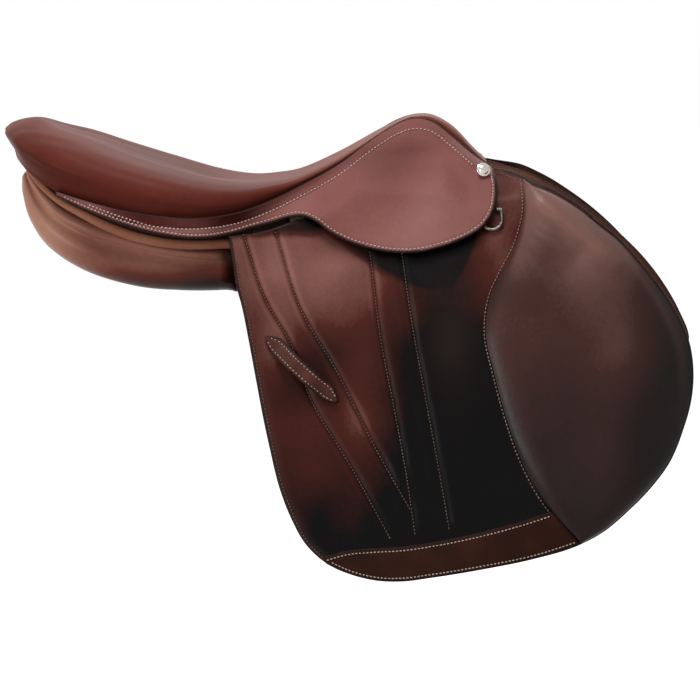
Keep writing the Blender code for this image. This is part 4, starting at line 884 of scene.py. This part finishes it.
# The knee pad: a crowned block under its own leather, from the seam to the flap's front rim.
# Its height is a flat-topped arch across, eased off towards both ends.
def makePad(hand):
    share = np.linspace(0, 1, pad["rows"])
    xz = ruled(pad["seam"], pad["rim"], pad["columns"], share)
    a, b = np.meshgrid(share, np.linspace(0, 1, pad["columns"]), indexing="ij")
    arch = (1 - np.abs(2 * a - 1) ** 2.6) ** 0.80
    ends = ease(b, -0.05, 0.20) * (1 - ease(b, 0.80, 1.04))
    height = pad["crown"] * arch * (0.26 + 0.74 * ends)
    x, z = xz[..., 0], xz[..., 1]
    height += 0.7 * waves(xz, 95, 41) * arch
    # a full ridge inside the front edge, and below it a dent with fine creases fanning over it
    ridge, _ = lineDistance(xz, pad["ridge"])
    height += 3.0 * bump(ridge, 0, 9) * arch**0.5 * ease(z, -10, 40)
    height -= 1.6 * bump(x - z, 222, 12) * bump(x + z, 292, 26) * arch
    crease = waves(np.stack([x + z * 1.25, (z - x) * 0.16], -1), 13, 42)
    height += 0.30 * crease * bump(x, 245, 22) * bump(z, 46, 24) * arch
    front = onFlap(xz, flap["thickness"] + 0.7 + height)
    back = onFlap(xz, flap["thickness"] + 0.35)
    points, faces, _ = shell(front, back, 0.25, 2)
    # painted light and shade: lighter over the top, darker low, towards the front and by the seam
    tone = 0.50 + 0.07 * waves(xz, 80, 43) + 0.34 * ease(z, 0, 70) + spotted(x, z, pad["toned"])
    tone -= 0.20 * (1 - ease(a, 0, 0.08)) + 0.38 * ease(-z, 10, 150) + 0.34 * ease(x, 290, 345)
    tone += 0.20 * bump(ridge, 0, 8) * ease(z, 20, 50)  # painted highlight along the ridge
    tone = np.clip(tone, 0.05, 1) - 0.25 * ease(a, 0.98, 1)
    # greyed as a painted highlight along the front rim, and painted sheen at the pad's sheen spots
    wearAndSheen = 0.30 * bump(a, 0.95, 0.025) * ease(z, -120, 0) + spotted(x, z, pad["paintedSheen"])
    border = borderOf(pad["rows"], pad["columns"])
    piece = addSided("knee_pad_leather", hand, points, faces, [hides["padCalf"]],
                     "flap_leather", None, np.zeros(len(faces)),
                     {"tone": overShell(tone, 2, border), "wearAndSheen": overShell(wearAndSheen, 2, border)})
    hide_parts(f"knee_pad_{hand}")
    hingeBlend(piece, flap)


# The grip patch sewn along the hem: a thin pebbled strip with a turned edge.
def makePatch(hand):
    xz = ruled(patch["upper"], patch["lower"], patch["columns"], patch["rows"])
    rim = np.minimum(np.minimum(lineDistance(xz, patch["upper"])[0], lineDistance(xz, patch["lower"])[0]), 9)
    height = flap["thickness"] + patch["lift"] + patch["thickness"] * (0.4 + 0.6 * ease(rim, 0, 2.4))
    front = onSide(xz, height - 0.35 * bump(rim, 3.0, 0.9))
    back = onSide(xz, flap["thickness"] + 0.45)
    points, faces, kinds = shell(front, back, 0.4, 2)
    tone = 0.55 + 0.10 * waves(xz, 40, 51) - 0.12 * ease(xz[..., 0], 150, 250) - 0.3 * (1 - ease(rim, 0, 1.6))
    border = borderOf(patch["rows"], patch["columns"])
    addSided("grip_patch_leather", hand, points, faces,
             [hides["patchPebble"], hides["patchPebble"], edge], "tan_leather", flapBodies[hand][1], kinds,
             {"tone": overShell(tone, 2, border)}, ("grip_patch",))


keeper = {
    "ends": ((-12, -34), (49, -86)), "width": 13.0, "thickness": 3.0, "arch": 9.0, "base": 5.4,
    "rows": 90, "columns": 26,
}


# A point of the keeper: u along it, v from -1 to 1 across; pointed ends, arched middle.
def keeperShape(u, v, lift):
    start, end = np.array(keeper["ends"], float)
    way = (end - start) / np.linalg.norm(end - start)
    across = np.array([-way[1], way[0]])
    half = keeper["width"] / 2 * np.clip(np.minimum(u, 1 - u) / 0.13, 0.10, 1) ** 0.6
    rise = keeper["arch"] * ease(np.minimum(u, 1 - u), 0.12, 0.42)
    flat = start + (end - start) * u[..., None] + across * (half * v)[..., None]
    return onSide(flat, keeper["base"] + rise + lift)


# A stitched leather loop with a slightly domed face and pointed tabs.
def makeKeeper(hand):
    rows, columns = keeper["rows"], keeper["columns"]
    u, v = np.meshgrid(np.linspace(0, 1, rows), np.linspace(-1, 1, columns), indexing="ij")
    dome = 0.7 * (1 - v**2) - 0.35 * bump(np.abs(v), 0.66, 0.12)
    front = keeperShape(u, v, keeper["thickness"] - 0.3 + dome)
    back = keeperShape(u, v, 0 * u)
    points, faces, kinds = shell(front, back, 0.5, 3)
    kinds = inkRim(kinds, (1 - np.abs(v)) * keeper["width"] / 2, 1.0)
    tone = 0.74 + 0.12 * waves(np.stack([u * 60, v * 6], -1), 30, 61) - 0.2 * ease(np.abs(v), 0.8, 1)
    border = borderOf(rows, columns)
    addSided("keeper_leather", hand, points, faces,
             [hides["strapLeather"], hides["sweatCalf"], edge], "skirt_leather", flapBodies[hand][1], kinds,
             {"tone": overShell(tone, 3, border)}, ("keeper",))


for hand in hands:
    makePad(hand)
    makePatch(hand)
    makeKeeper(hand)
print("stage: pads, patches and keepers made")


# The skirt's flat grid: from its upper edge under the welt to its lower edge and lobe.
def skirtGrid(columns=250, rows=80):
    x = np.linspace(-197.5, 184.6, 70)
    upper = np.stack([x, weltAt(x)[1] - skirt["drop"]], 1)
    lower = inset(through(np.array(skirt["strip"] + skirt["lobe"], float), columns), skirt["rimBulge"])
    share = (1 - (1 - np.linspace(0, 1, rows)) ** 1.3)[:, None, None]
    return through(upper, columns)[None] * (1 - share) + lower[None] * share


# The skirt, one sheet from cantle to pommel with its rounded lobe, bent in to the welt.
def makeSkirt(hand):
    xz = skirtGrid()
    rows, columns = xz.shape[:2]
    x, z = xz[..., 0], xz[..., 1]
    rim = lineDistance(xz, skirt["strip"] + skirt["lobe"])[0]
    top = weltAt(x)[1] - z
    # it bulges softly over the stirrup bar, with the two sewing lines pressed in
    height = 0.8 * bump(x, 135, 40) * bump(z, 66, 18) + 0.22 * waves(xz, 90, 71) * ease(rim, 2, 12)
    height -= 0.45 * bump(rim, 3.6, 1.3) + 0.45 * bump(top, 9.8, 1.3) * ease(x, -172, -160)
    front = onSkirt(xz, skirt["thickness"] + height - 1.1 * (1 - ease(rim, 0, 3)))
    back = onSkirt(xz, 0.0)
    points, faces, kinds = shell(front, back, skirt["rimBulge"], 3)
    kinds = inkRim(kinds, rim, 2.1)
    tone = 0.55 + 0.08 * waves(xz, 100, 73) + spotted(x, z, skirt["toned"])
    tone -= 0.55 * ease(-x, -10, 50) * (1 - ease(top, 8.6, 10)) * ease(x, -175, -140)
    tone -= 0.16 * (1 - ease(rim, 1.5, 3.5))
    # greyed below the welt near the pommel and at the skirt's sheen spots: painted highlight and sheen
    wearAndSheen = 0.30 * bump(x, 138, 24) * bump(top, 8, 7) + spotted(x, z, skirt["paintedSheen"])
    border = borderOf(rows, columns)
    piece = addSided("skirt_leather", hand, points, faces,
                     [hides["skirtCalf"], hides["sweatCalf"], edge], "skirt_leather", None, kinds,
                     {"tone": overShell(tone, 3, border), "wearAndSheen": overShell(wearAndSheen, 3, border)})
    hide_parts(f"skirt_facing_{hand}", f"skirt_lobe_{hand}")
    hingeBlend(piece, skirt)


welt = {"radius": (0.8, 1.25), "drop": 0.1, "around": 12}
nail = {"at": (175, 104.4), "radius": 6.4, "shank": 1.5, "proud": 0.5}


# A piped welt: a cord in folded leather, between the seat and the skirt, finer at the pommel.
def makeWelt(hand):
    x = np.linspace(184, -197, 170)
    half, top = weltAt(x)
    radius = welt["radius"][0] + (welt["radius"][1] - welt["radius"][0]) * ease(-x, -60, 40)
    path = np.stack([x, -half - 0.7, top - welt["drop"] - radius], 1)
    points, faces = tubeAlong(path, radius, welt["around"])
    tone = np.repeat(0.02 + 0.05 * waves(path, 60, 81), welt["around"])
    addSided("welt_piping", hand, points, faces, [hides["sweatCalf"]], "edge_leather",
             "saddle", None, {"tone": tone}, ("seat_welt",))


# A turned nickel nail: a profile of radius and height carried round its axis.
def makeNail(hand):
    turn = np.linspace(0, 2 * math.pi, 12, endpoint=False)
    ring = np.stack([np.cos(turn), np.sin(turn)], 1)
    rim, core = (onSkirt(np.array(nail["at"]) + r * ring, 0.0) for r in (nail["radius"], 3.0))
    face = core.mean(0)
    out = np.cross(core[3] - core[9], core[0] - core[6])
    out *= [1, 1, 0.35]  # the nail lies nearer level than the leather's normal there
    out *= -np.sign(out[1]) / np.linalg.norm(out)
    face = face + out * (((rim - face) @ out).max() + skirt["thickness"] + nail["proud"])
    radius = nail["radius"]
    profile = np.array([(0.001, 3.3), (1.2, 3.25), (2.4, 3.0), (3.4, 2.55), (4.1, 1.95), (4.5, 1.35),
                        (4.7, 1.15), (5.6, 1.1), (6.25, 0.9), (radius, 0.45), (radius - 0.4, 0.02),
                        (nail["shank"], 0.0), (nail["shank"], -8.6), (0.001, -8.6)])
    around = 40
    turn = np.linspace(0, 2 * math.pi, around, endpoint=False)
    first = np.cross(out, [0, 0, 1.0])
    first /= np.linalg.norm(first)
    second = np.cross(out, first)
    points = (face + profile[:, 1, None, None] * out + profile[:, 0, None, None] * (
        np.cos(turn)[None, :, None] * first + np.sin(turn)[None, :, None] * second))
    index = np.arange(len(profile) * around).reshape(-1, around)
    faces = ringFaces(index).tolist() + [index[0].tolist(), index[-1][::-1].tolist()]
    addSided("nail_turned", hand, points.reshape(-1, 3), faces, [nickel], "nickel",
             "saddle", None, None, ("nail",))


for hand in hands:
    makeSkirt(hand)
    makeWelt(hand)
    makeNail(hand)
print("stage: skirts, welts and nails made")


panel = {
    # rear end to front: top x, z, bottom x, z, outer y, inner y, inner bottom z
    "stations": np.array([
        (-230, 104, -235, 96, 54, 37, 97), (-225, 98, -233.5, 83, 64, 36, 86),
        (-212, 85, -226, 62, 77, 35, 72), (-195, 72, -207, 38.5, 90, 34, 58),
        (-168, 61, -172, 18.5, 101, 34, 43), (-128, 50, -128, 6.5, 105, 34, 32),
        (-86, 41, -86, 3, 103, 34, 26), (-45, 36, -45, 2, 94, 35, 24), (0, 31, 0, 0, 94, 36, 20),
        (45, 38, 45, -9, 98, 38, 9), (90, 46, 90, -28, 104, 40, -12), (135, 52, 135, -44, 110, 42, -34),
        (172, 54, 172, -42, 112, 48, -36), (196, 38, 196, -18, 106, 60, -14),
    ], float),
    "skin": 1.6,
    "inset": 26.6,  # inside of the flap: the tree's room, the sweat flap, the skin and some play
    "around": 110,
    "stationsMade": 130,
}


# The y that the panel keeps inside of: the sweat flap's, from where that begins.
def panelWall(x, z):
    inside = onSide(np.stack([x, z], -1), -panel["inset"])[..., 1]
    return inside - 60 * (1 - ease(x, -74, -40))


# Sections of the panel: flat on top, a narrow ridge over a wide bulge outside, round below.
def panelLoops(around, stations):
    rows = smooth(np.linspace(0, 1, len(panel["stations"])), panel["stations"], np.linspace(0, 1, stations))
    loops = []
    for topX, topZ, lowX, lowZ, outer, inner, innerZ in rows:
        corner = min(8, 0.3 * (outer - inner))
        outside = np.array([
            (outer - corner, 0.0), (outer - 2.5, 0.05), (outer + 0.5, 0.14), (outer - 2.5, 0.25),
            (outer - 1, 0.36), (outer + 3, 0.54), (outer + 1, 0.78), (outer - corner, 0.97),
        ])
        x = topX + (lowX - topX) * outside[:, 1]
        z = topZ + (lowZ - topZ) * outside[:, 1]
        outside = np.stack([x, np.maximum(-outside[:, 0], panelWall(x, z)), z], 1)
        inside = np.array([
            (lowX, -0.5 * (outer + inner), 0.6 * lowZ + 0.4 * innerZ - 3),
            (lowX, -inner - 0.6 * corner, innerZ),
            (topX, -inner, 0.5 * (topZ + innerZ)),
            (topX, -inner - 0.4 * corner, topZ - 1),
        ])
        inside[0, 1] = max(inside[0, 1], outside[-1, 1] + 0.3 * corner)
        loops.append(through(np.concatenate([inside[-1:], outside, inside]), around + 1)[:-1])
    loops = np.array(loops)
    loops[..., 1] = np.maximum(loops[..., 1], panelWall(loops[..., 0], loops[..., 2]))
    return loops


# Closed loops moved outwards, along normals taken from their neighbours.
def grown(loops, distance):
    normal = np.cross(np.gradient(loops, axis=0), np.roll(loops, -1, 1) - np.roll(loops, 1, 1))
    normal /= np.linalg.norm(normal, axis=2, keepdims=True)
    outward = np.sign((normal * (loops - loops.mean(1, keepdims=True))).sum())
    return loops + outward * normal * np.asarray(distance)[..., None]


# The stuffed panel: a leather skin grown from the lining's loops, closed over both ends.
def makePanel(hand):
    lining = panelLoops(panel["around"], panel["stationsMade"])
    x, z = lining[..., 0], lining[..., 2]
    puff = 0.6 * waves(lining, 80, 91)
    puff += 0.45 * waves(np.stack([x * 1.6, z * 0.5], -1), 34, 92) * bump(x, -60, 40)
    loops = grown(lining, panel["skin"] + 0.35 * puff)
    ends = []
    for edgeLoop, neighbour in ((loops[0], loops[1]), (loops[-1], loops[-2])):
        middle = edgeLoop.mean(0)
        away = (edgeLoop - neighbour).mean(0)
        away /= np.linalg.norm(away)
        ends.append([middle + (edgeLoop - middle) * math.cos(q) + away * 3.0 * math.sin(q)
                     for q in (0.5, 1.0, 1.35, 1.55)])
    loops = np.concatenate([np.array(ends[0])[::-1], loops, np.array(ends[1])])
    count, around = loops.shape[:2]
    index = np.arange(count * around).reshape(count, around)
    faces = ringFaces(index).tolist() + [index[0][::-1].tolist(), index[-1].tolist()]
    points = loops.reshape(-1, 3)
    # darker over the lower part, and a painted highlight towards the rear
    low = ease(-points[:, 2], -30, -4) * ease(points[:, 0], -190, -120)
    tone = 0.70 + 0.08 * waves(points, 90, 93) - 0.62 * low + 0.3 * ease(-points[:, 0], 150, 220) * (1 - low)
    piece = addSided("panel_leather", hand, points, faces, [hides["panelCalf"]],
                     "panel_leather", "saddle", None, {"tone": tone},
                     ("panel_cover", "panel_foam"))


roll = {
    "path": (
        (-30, -91, 43.5), (-54.4, -98, 43.6), (-81.2, -107, 43.9), (-99.3, -111, 45.6), (-117.4, -113, 49),
        (-136.2, -113, 54.2), (-155.2, -109, 61.4), (-174.5, -103, 70), (-194.7, -93, 79.3),
        (-216.2, -76, 94.6), (-229, -58, 107.3), (-240, -36, 115.5), (-245.5, 0, 119.5),
    ),
    "radius": (3.0, 4.3),  # near the cantle and along the side
    "around": 18,
}


# The rolled edge under the cantle: a cord in tan leather from one panel round to the other.
def makeRoll():
    path = through(wholeOf(np.array(roll["path"], float)), 300)
    share = np.linspace(0, 1, len(path))
    radius = roll["radius"][0] + (roll["radius"][1] - roll["radius"][0]) * ease(path[:, 0], -200, -150)
    radius = radius * (0.35 + 0.65 * ease(np.minimum(share, 1 - share), 0, 0.02))
    points, faces = tubeAlong(path, radius, roll["around"])
    tone = np.repeat(0.55 + 0.1 * waves(path, 70, 101), roll["around"])
    addPiece("cantle_roll_leather", points, faces, [hides["rollCalf"]], "saddle", None,
             {"tone": tone}, ("cantle_roll",))


rearFacing = {"inset": 4.0, "thickness": 1.2, "middle": (-60.0, 0.0, 0.0)}


# The leather that closes the cantle: from inside the welt down to the roll, all round.
def makeRearFacing():
    rows = seat["stations"][9:]
    weltLine = through(rows[:, :3] * np.array([1, -1, 1]), 90)
    rollLine = through(roll["path"], 90)
    middle = np.array(rearFacing["middle"])
    rims = []
    for line, reach in ((weltLine - np.array([0, 0, 1.5]), rearFacing["inset"]),
                        (rollLine, roll["radius"][0] + 1.0)):
        inward = middle - line
        inward[:, 2] = 0
        inward /= np.linalg.norm(inward, axis=1, keepdims=True)
        rims.append(wholeOf(line + inward * reach))
    top, low = rims
    share = np.linspace(0, 1, 12)[:, None, None]
    front = top[None] * (1 - share) + low[None] * share
    normal = gridNormals(front, (0, 0, -1))
    outward = front - middle
    outward[..., 2] = 0
    normal = normal * np.sign((normal * outward).sum(-1, keepdims=True))
    back = front - normal * rearFacing["thickness"]
    points, faces, _ = shell(front, back, 0.4, 2)
    addPiece("cantle_facing", points, faces, [hides["sweatCalf"]], "saddle",
             np.zeros(len(faces)), {"tone": 0.25})


sweat = {
    "thickness": 3.4, "room": 9.0, "treeRoom": 18.0, "rows": 70, "columns": 190,
    "upper": ((-34, 28), (0, 34), (50, 42), (95, 50), (125, 56), (150, 61), (168, 68), (182, 82), (189, 97)),
    "outline": (
        (-30, -10), (-22, -60), (-13, -105), (0, -150), (22, -190), (48, -212), (80, -223), (106, -224),
        (140, -218), (174, -211), (216, -201), (255, -187), (290, -165), (316, -140), (334, -110),
        (345, -80), (352, -55), (357, -37), (349, -14), (336, 9), (320, 30), (299, 51), (279, 67.5),
        (262, 79.5), (248, 88.5), (232, 97), (217, 103.8), (203, 107.5), (192, 110), (183.5, 112),
    ),
}


# The sweat flap between the straps and the horse: a softer, lighter sheet with a bound rim.
def makeSweatFlap(hand):
    columns, rows = sweat["columns"], sweat["rows"]
    share = np.linspace(0, 1, rows)[:, None, None]
    low = inset(through(sweat["outline"], columns), 0.9)
    xz = through(sweat["upper"], columns)[None] * (1 - share) + low[None] * share
    x, z = xz[..., 0], xz[..., 1]
    besideTree = ease(z, -34, 8) * (1 - ease(x, 178, 205))
    inner = -(sweat["room"] + (sweat["treeRoom"] - sweat["room"]) * besideTree) - sweat["thickness"]
    rim = np.minimum(lineDistance(xz, sweat["outline"])[0], 30)
    # a little thinner than the hidden sweat flap, so that the girth straps swing clear of it
    front = onFlap(xz, inner + sweat["thickness"] - 0.6 - 0.5 * bump(rim, 5, 1.2))
    back = onFlap(xz, inner)
    points, faces, kinds = shell(front, back, 0.9, 3)
    tone = 0.62 + 0.03 * waves(xz, 80, 111) - 0.2 * (1 - ease(rim, 0.5, 3))
    border = borderOf(rows, columns)
    addSided("sweat_flap_leather", hand, points, faces,
             [hides["sweatCalf"], hides["sweatCalf"], edge], "flap_leather", "saddle", kinds,
             {"tone": overShell(tone, 3, border)}, ("sweat_flap",))


for hand in hands:
    makePanel(hand)
    makeSweatFlap(hand)
makeRoll()
makeRearFacing()
print("stage: panels, roll and sweat flaps made")


dee = {"at": (184, 73), "width": 17.0, "drop": 19.0, "wire": 1.4, "base": 5.4, "chape": 0.8, "gap": 0.2}


# A bent wire dee: a straight bar and a half round, in the plane of the side.
def makeDee(hand):
    spot = np.array(dee["at"], float)
    forward, up, out = sideAxes(spot)
    place = onSide(spot[None], dee["base"])[0] + out * (dee["chape"] + dee["gap"] + dee["wire"])
    half = dee["width"] / 2
    turn = np.linspace(0, math.pi, 40)
    bow = np.stack([half * np.cos(turn), -(dee["drop"] - half) - half * np.sin(turn)], 1)
    corners = np.concatenate([
        [(-half + 1.2, 0.0), (0, 0), (half - 1.2, 0.0), (half - 0.3, -0.3), (half, -1.2)], bow,
        [(-half, -1.2), (-half + 0.3, -0.3)]])
    path = place + corners[:, :1] * forward + corners[:, 1:] * up
    points, faces = tubeAlong(path, dee["wire"], 14, closed=True)
    # the dee in the darker copy of nickel, as painted shade
    addSided("dee_wire", hand, points, faces, [shadedNickel], "nickel",
             f"dee_{hands[hand]}", None, None, ("dee",))


for hand in hands:
    makeDee(hand)


# Normals of a face along a flat line, from steps along it and across it on the face.
def gridLineNormals(line, surface):
    step = np.array([0.0, 0.6])
    along = np.gradient(surface(line, 0.0), axis=0)
    across = surface(line + step, 0.0) - surface(line - step, 0.0)
    normal = np.cross(along, across)
    normal /= np.linalg.norm(normal, axis=1, keepdims=True)
    return normal * -np.sign(normal[:, 1:2])


# Stitches along a path that lies over a flat line of the side, upright on the side's face.
def sideStitches(flat, path, pitch, length, width):
    return stitches(path, sideNormal(flat[:, 0], flat[:, 1]), pitch, length, width)


stitchLines = {
    "skirtTop": 9.6,  # below the welt's station
    "skirtHem": 3.6,  # inside the lower edge
    "flapHem": 3.4,
    "padSeam": 1.6,  # behind the pad
    "patch": 2.6,
}


# All the thread of one side: pale on skirt, patch and keeper, fawn on the pad's seam, brown on
# the flap's quilting and rims.
def makeStitches(hand):
    sewn = []
    hem = inset(through(np.array(skirt["strip"] + skirt["lobe"], float), 400), stitchLines["skirtHem"])[5:-2]
    hem = through(np.concatenate([hem[:-5:8], hem[-1:]]), 500)
    path = onSkirt(hem, skirt["thickness"] - 0.15)
    sewn.append(stitches(path, gridLineNormals(hem, onSkirt)))
    # the upper row keeps clear of the hem's row where the strip narrows
    x = np.linspace(-168, 168, 300)
    rear = hem[hem[:, 0] < 20]
    rear = rear[np.argsort(rear[:, 0])]
    low = np.where(x < 10, np.interp(x, rear[:, 0], rear[:, 1]) + 2.6, -100)
    line = np.stack([x, np.maximum(weltAt(x)[1] - stitchLines["skirtTop"], low)], 1)
    path = onSkirt(line, skirt["thickness"] - 0.1)
    sewn.append(stitches(path, gridLineNormals(line, onSkirt)))
    piece = addSided("skirt_thread", hand, *joined(sewn), [paleThread], "tan_leather")
    hingeBlend(piece, skirt)

    parts = []
    for flat in (through(seam, 260) for seam in flap["seams"]):
        path = onSide(flat, flap["thickness"] + flapPuff(flat) + 0.3)
        parts.append(sideStitches(flat, path, 3.0, 1.9, 0.44))
    brown = joined(parts)
    flat = inset(through(pad["seam"], 300), -stitchLines["padSeam"])
    path = onFlap(flat, flap["thickness"] + flapPuff(flat) + 0.3)
    parts = [sideStitches(flat, path, 3.4, 2.2, 0.5)]
    rear = inset(through(flap["outline"], 500), stitchLines["flapHem"])[12:180]
    path = onSide(rear, flap["thickness"] + 0.05 + flapPuff(rear) * 0.3)
    brown = joined([brown, sideStitches(rear, path, 3.0, 1.9, 0.42)])
    piece = addSided("quilt_thread", hand, *brown, [darkThread], "edge_leather")
    hingeBlend(piece, flap)
    piece = addSided("flap_thread", hand, *joined(parts), [fawnThread], "tan_leather")
    hingeBlend(piece, flap)

    upper, lower = (inset(through(patch[name], 300), way * stitchLines["patch"])[4:-4]
                    for name, way in (("upper", -1), ("lower", 1)))
    height = flap["thickness"] + patch["lift"] + patch["thickness"]
    parts = []
    for flat in (upper, lower):
        parts.append(sideStitches(flat, onSide(flat, height - 0.1), 3.1, 2.0, 0.5))
    u = np.linspace(0.03, 0.97, 120)
    for v in (-0.66, 0.66):
        grid = keeperShape(u, np.full_like(u, v), keeper["thickness"] - 0.3 + 0 * u)
        way = np.gradient(grid, axis=0)
        high, low = (keeperShape(u, np.full_like(u, w), keeper["thickness"] + 0 * u)
                     for w in (v + 0.1, v - 0.1))
        normal = np.cross(way, high - low)
        normal *= -np.sign(normal[:, 1:2])
        parts.append(stitches(grid, normal, 3.4, 1.9, 0.36))
    addSided("trim_thread", hand, *joined(parts), [paleThread], "tan_leather",
             flapBodies[hand][1])

    front = inset(through(flap["top"], 400), -stitchLines["flapHem"])[285:396]
    brown = sideStitches(front, onFlap(front, flap["thickness"] + 0.15), 3.4, 2.4, 0.42)
    addSided("rim_thread", hand, *brown, [darkThread], "edge_leather", "saddle")


for hand in hands:
    makeStitches(hand)
print("stage: stitching made")


# The frame's own parts that stay as they are, each with its finish.
finishes = {
    "tree_head": beech, "tree_cantle": beech, "tree_rail_L": beech, "tree_rail_R": beech,
    "tree_spring_L": steel, "tree_spring_R": steel, "gullet_plate": steel,
    "stirrup_bar_L": steel, "stirrup_bar_R": steel, "stirrup_catch_L": steel, "stirrup_catch_R": steel,
    "catch_pin_L": steel, "catch_pin_R": steel,
    "seat_web_L": web, "seat_web_R": web, "waist_web": web, "girth_web_front": web, "girth_web_rear": web,
    "pommel_facing": hides["sweatCalf"],
    "dee_chape_L": hides["strapLeather"], "dee_chape_R": hides["strapLeather"],
    **{f"girth_strap_{n}_{hand}": hides["strapLeather"] for n in (1, 2, 3) for hand in hands},
}
for name, material in finishes.items():
    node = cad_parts[name]
    if not node.material_slots:
        node.data.materials.append(material)
    for slot in node.material_slots:
        slot.material = material
print("stage: finishes given")


# metres, degrees and a lens in millimetres
view = {"target": (0.0575, 0, -0.066), "azimuth": 1.2, "elevation": 9.0, "distance": 2.0, "lens": 110.4}


# Aimed at the target, from that azimuth, elevation and distance.
def makeCamera():
    azimuth, elevation = math.radians(view["azimuth"]), math.radians(view["elevation"])
    level = math.cos(elevation)
    back = np.array([math.sin(azimuth) * level, -math.cos(azimuth) * level, math.sin(elevation)])
    data = bpy.data.cameras.new("camera")
    data.lens = view["lens"]
    data.sensor_width = 36
    data.clip_end = 50
    camera = bpy.data.objects.new("camera", data)
    bpy.context.scene.collection.objects.link(camera)
    camera.location = (np.array(view["target"]) + back * view["distance"]).tolist()
    camera.rotation_euler = (math.radians(90) - elevation, 0, azimuth)
    bpy.context.scene.camera = camera


fill = 0.10  # the world's light on the object, against 1 where it is seen


# 1 for camera, glossy and transmission rays, which see the white ground and sky, else 0.
def seenRays(tree):
    seen = addNode(tree, "LightPath", output="Is Camera Ray")
    for kind in ("Glossy", "Transmission"):
        ray = addNode(tree, "LightPath", output=f"Is {kind} Ray")
        seen = addNode(tree, "Math", (seen, ray), {"operation": "MAXIMUM"})
    return seen


lamps = {
    # place and size in metres, watts: soft boxes overhead, wide in front, tall at the left, and behind
    "overhead": ((-0.05, -0.30, 1.05), (0.50, 0.36), 7.6),
    "front": ((0.5, -2.2, 0.5), (1.6, 1.2), 2.5),
    "left": ((-1.45, -1.35, 0.45), (0.40, 1.0), 15.0),
    "far": ((0.2, 1.6, 1.2), (1.2, 0.8), 4.0),
}


# Area lamps aimed at the saddle, and a white world that gives only a weak fill.
def makeLight():
    for name, (place, size, watts) in lamps.items():
        data = bpy.data.lights.new(name, "AREA")
        data.shape = "RECTANGLE"
        data.size, data.size_y = size
        data.energy = watts
        lamp = bpy.data.objects.new(name, data)
        bpy.context.scene.collection.objects.link(lamp)
        lamp.location = place
        lamp.rotation_euler = (Vector((0.05, -0.1, 0.0)) - Vector(place)).to_track_quat("-Z", "Y").to_euler()
    world = bpy.data.worlds.new("white")
    bpy.context.scene.world = world
    world.use_nodes = True
    tree = world.node_tree
    sky = tree.nodes["Background"]
    tree.links.new(addNode(tree, "Math", (seenRays(tree), 1 - fill, fill), scaled), sky.inputs["Strength"])
    sky.inputs["Color"].default_value = (1, 1, 1, 1)


ground = {"level": -0.52, "reach": 12.0}


# A white floor well below the saddle, which hangs as if held; it still takes its shadow.
def makeGround():
    index = np.array([(-1, -1), (1, -1), (1, 1), (-1, 1)]) * ground["reach"]
    mesh = bpy.data.meshes.new("ground")
    mesh.from_pydata([(float(x), float(y), ground["level"]) for x, y in index], [], [(0, 1, 2, 3)])
    floor = bpy.data.objects.new("ground", mesh)
    bpy.context.scene.collection.objects.link(floor)
    material, tree, shader = newMaterial("whiteGround", {
        "Base Color": (0.9, 0.9, 0.9, 1), "Roughness": 0.9, "Specular IOR Level": 0.0,
        "Emission Color": (1, 1, 1, 1),
    })
    glow = addNode(tree, "Math", (seenRays(tree), 0.93), {"operation": "MULTIPLY"})
    tree.links.new(glow, shader.inputs["Emission Strength"])
    mesh.materials.append(material)


makeCamera()
makeLight()
makeGround()
bpy.context.scene.view_settings.view_transform = "Standard"
print("stage: camera, light and ground made")
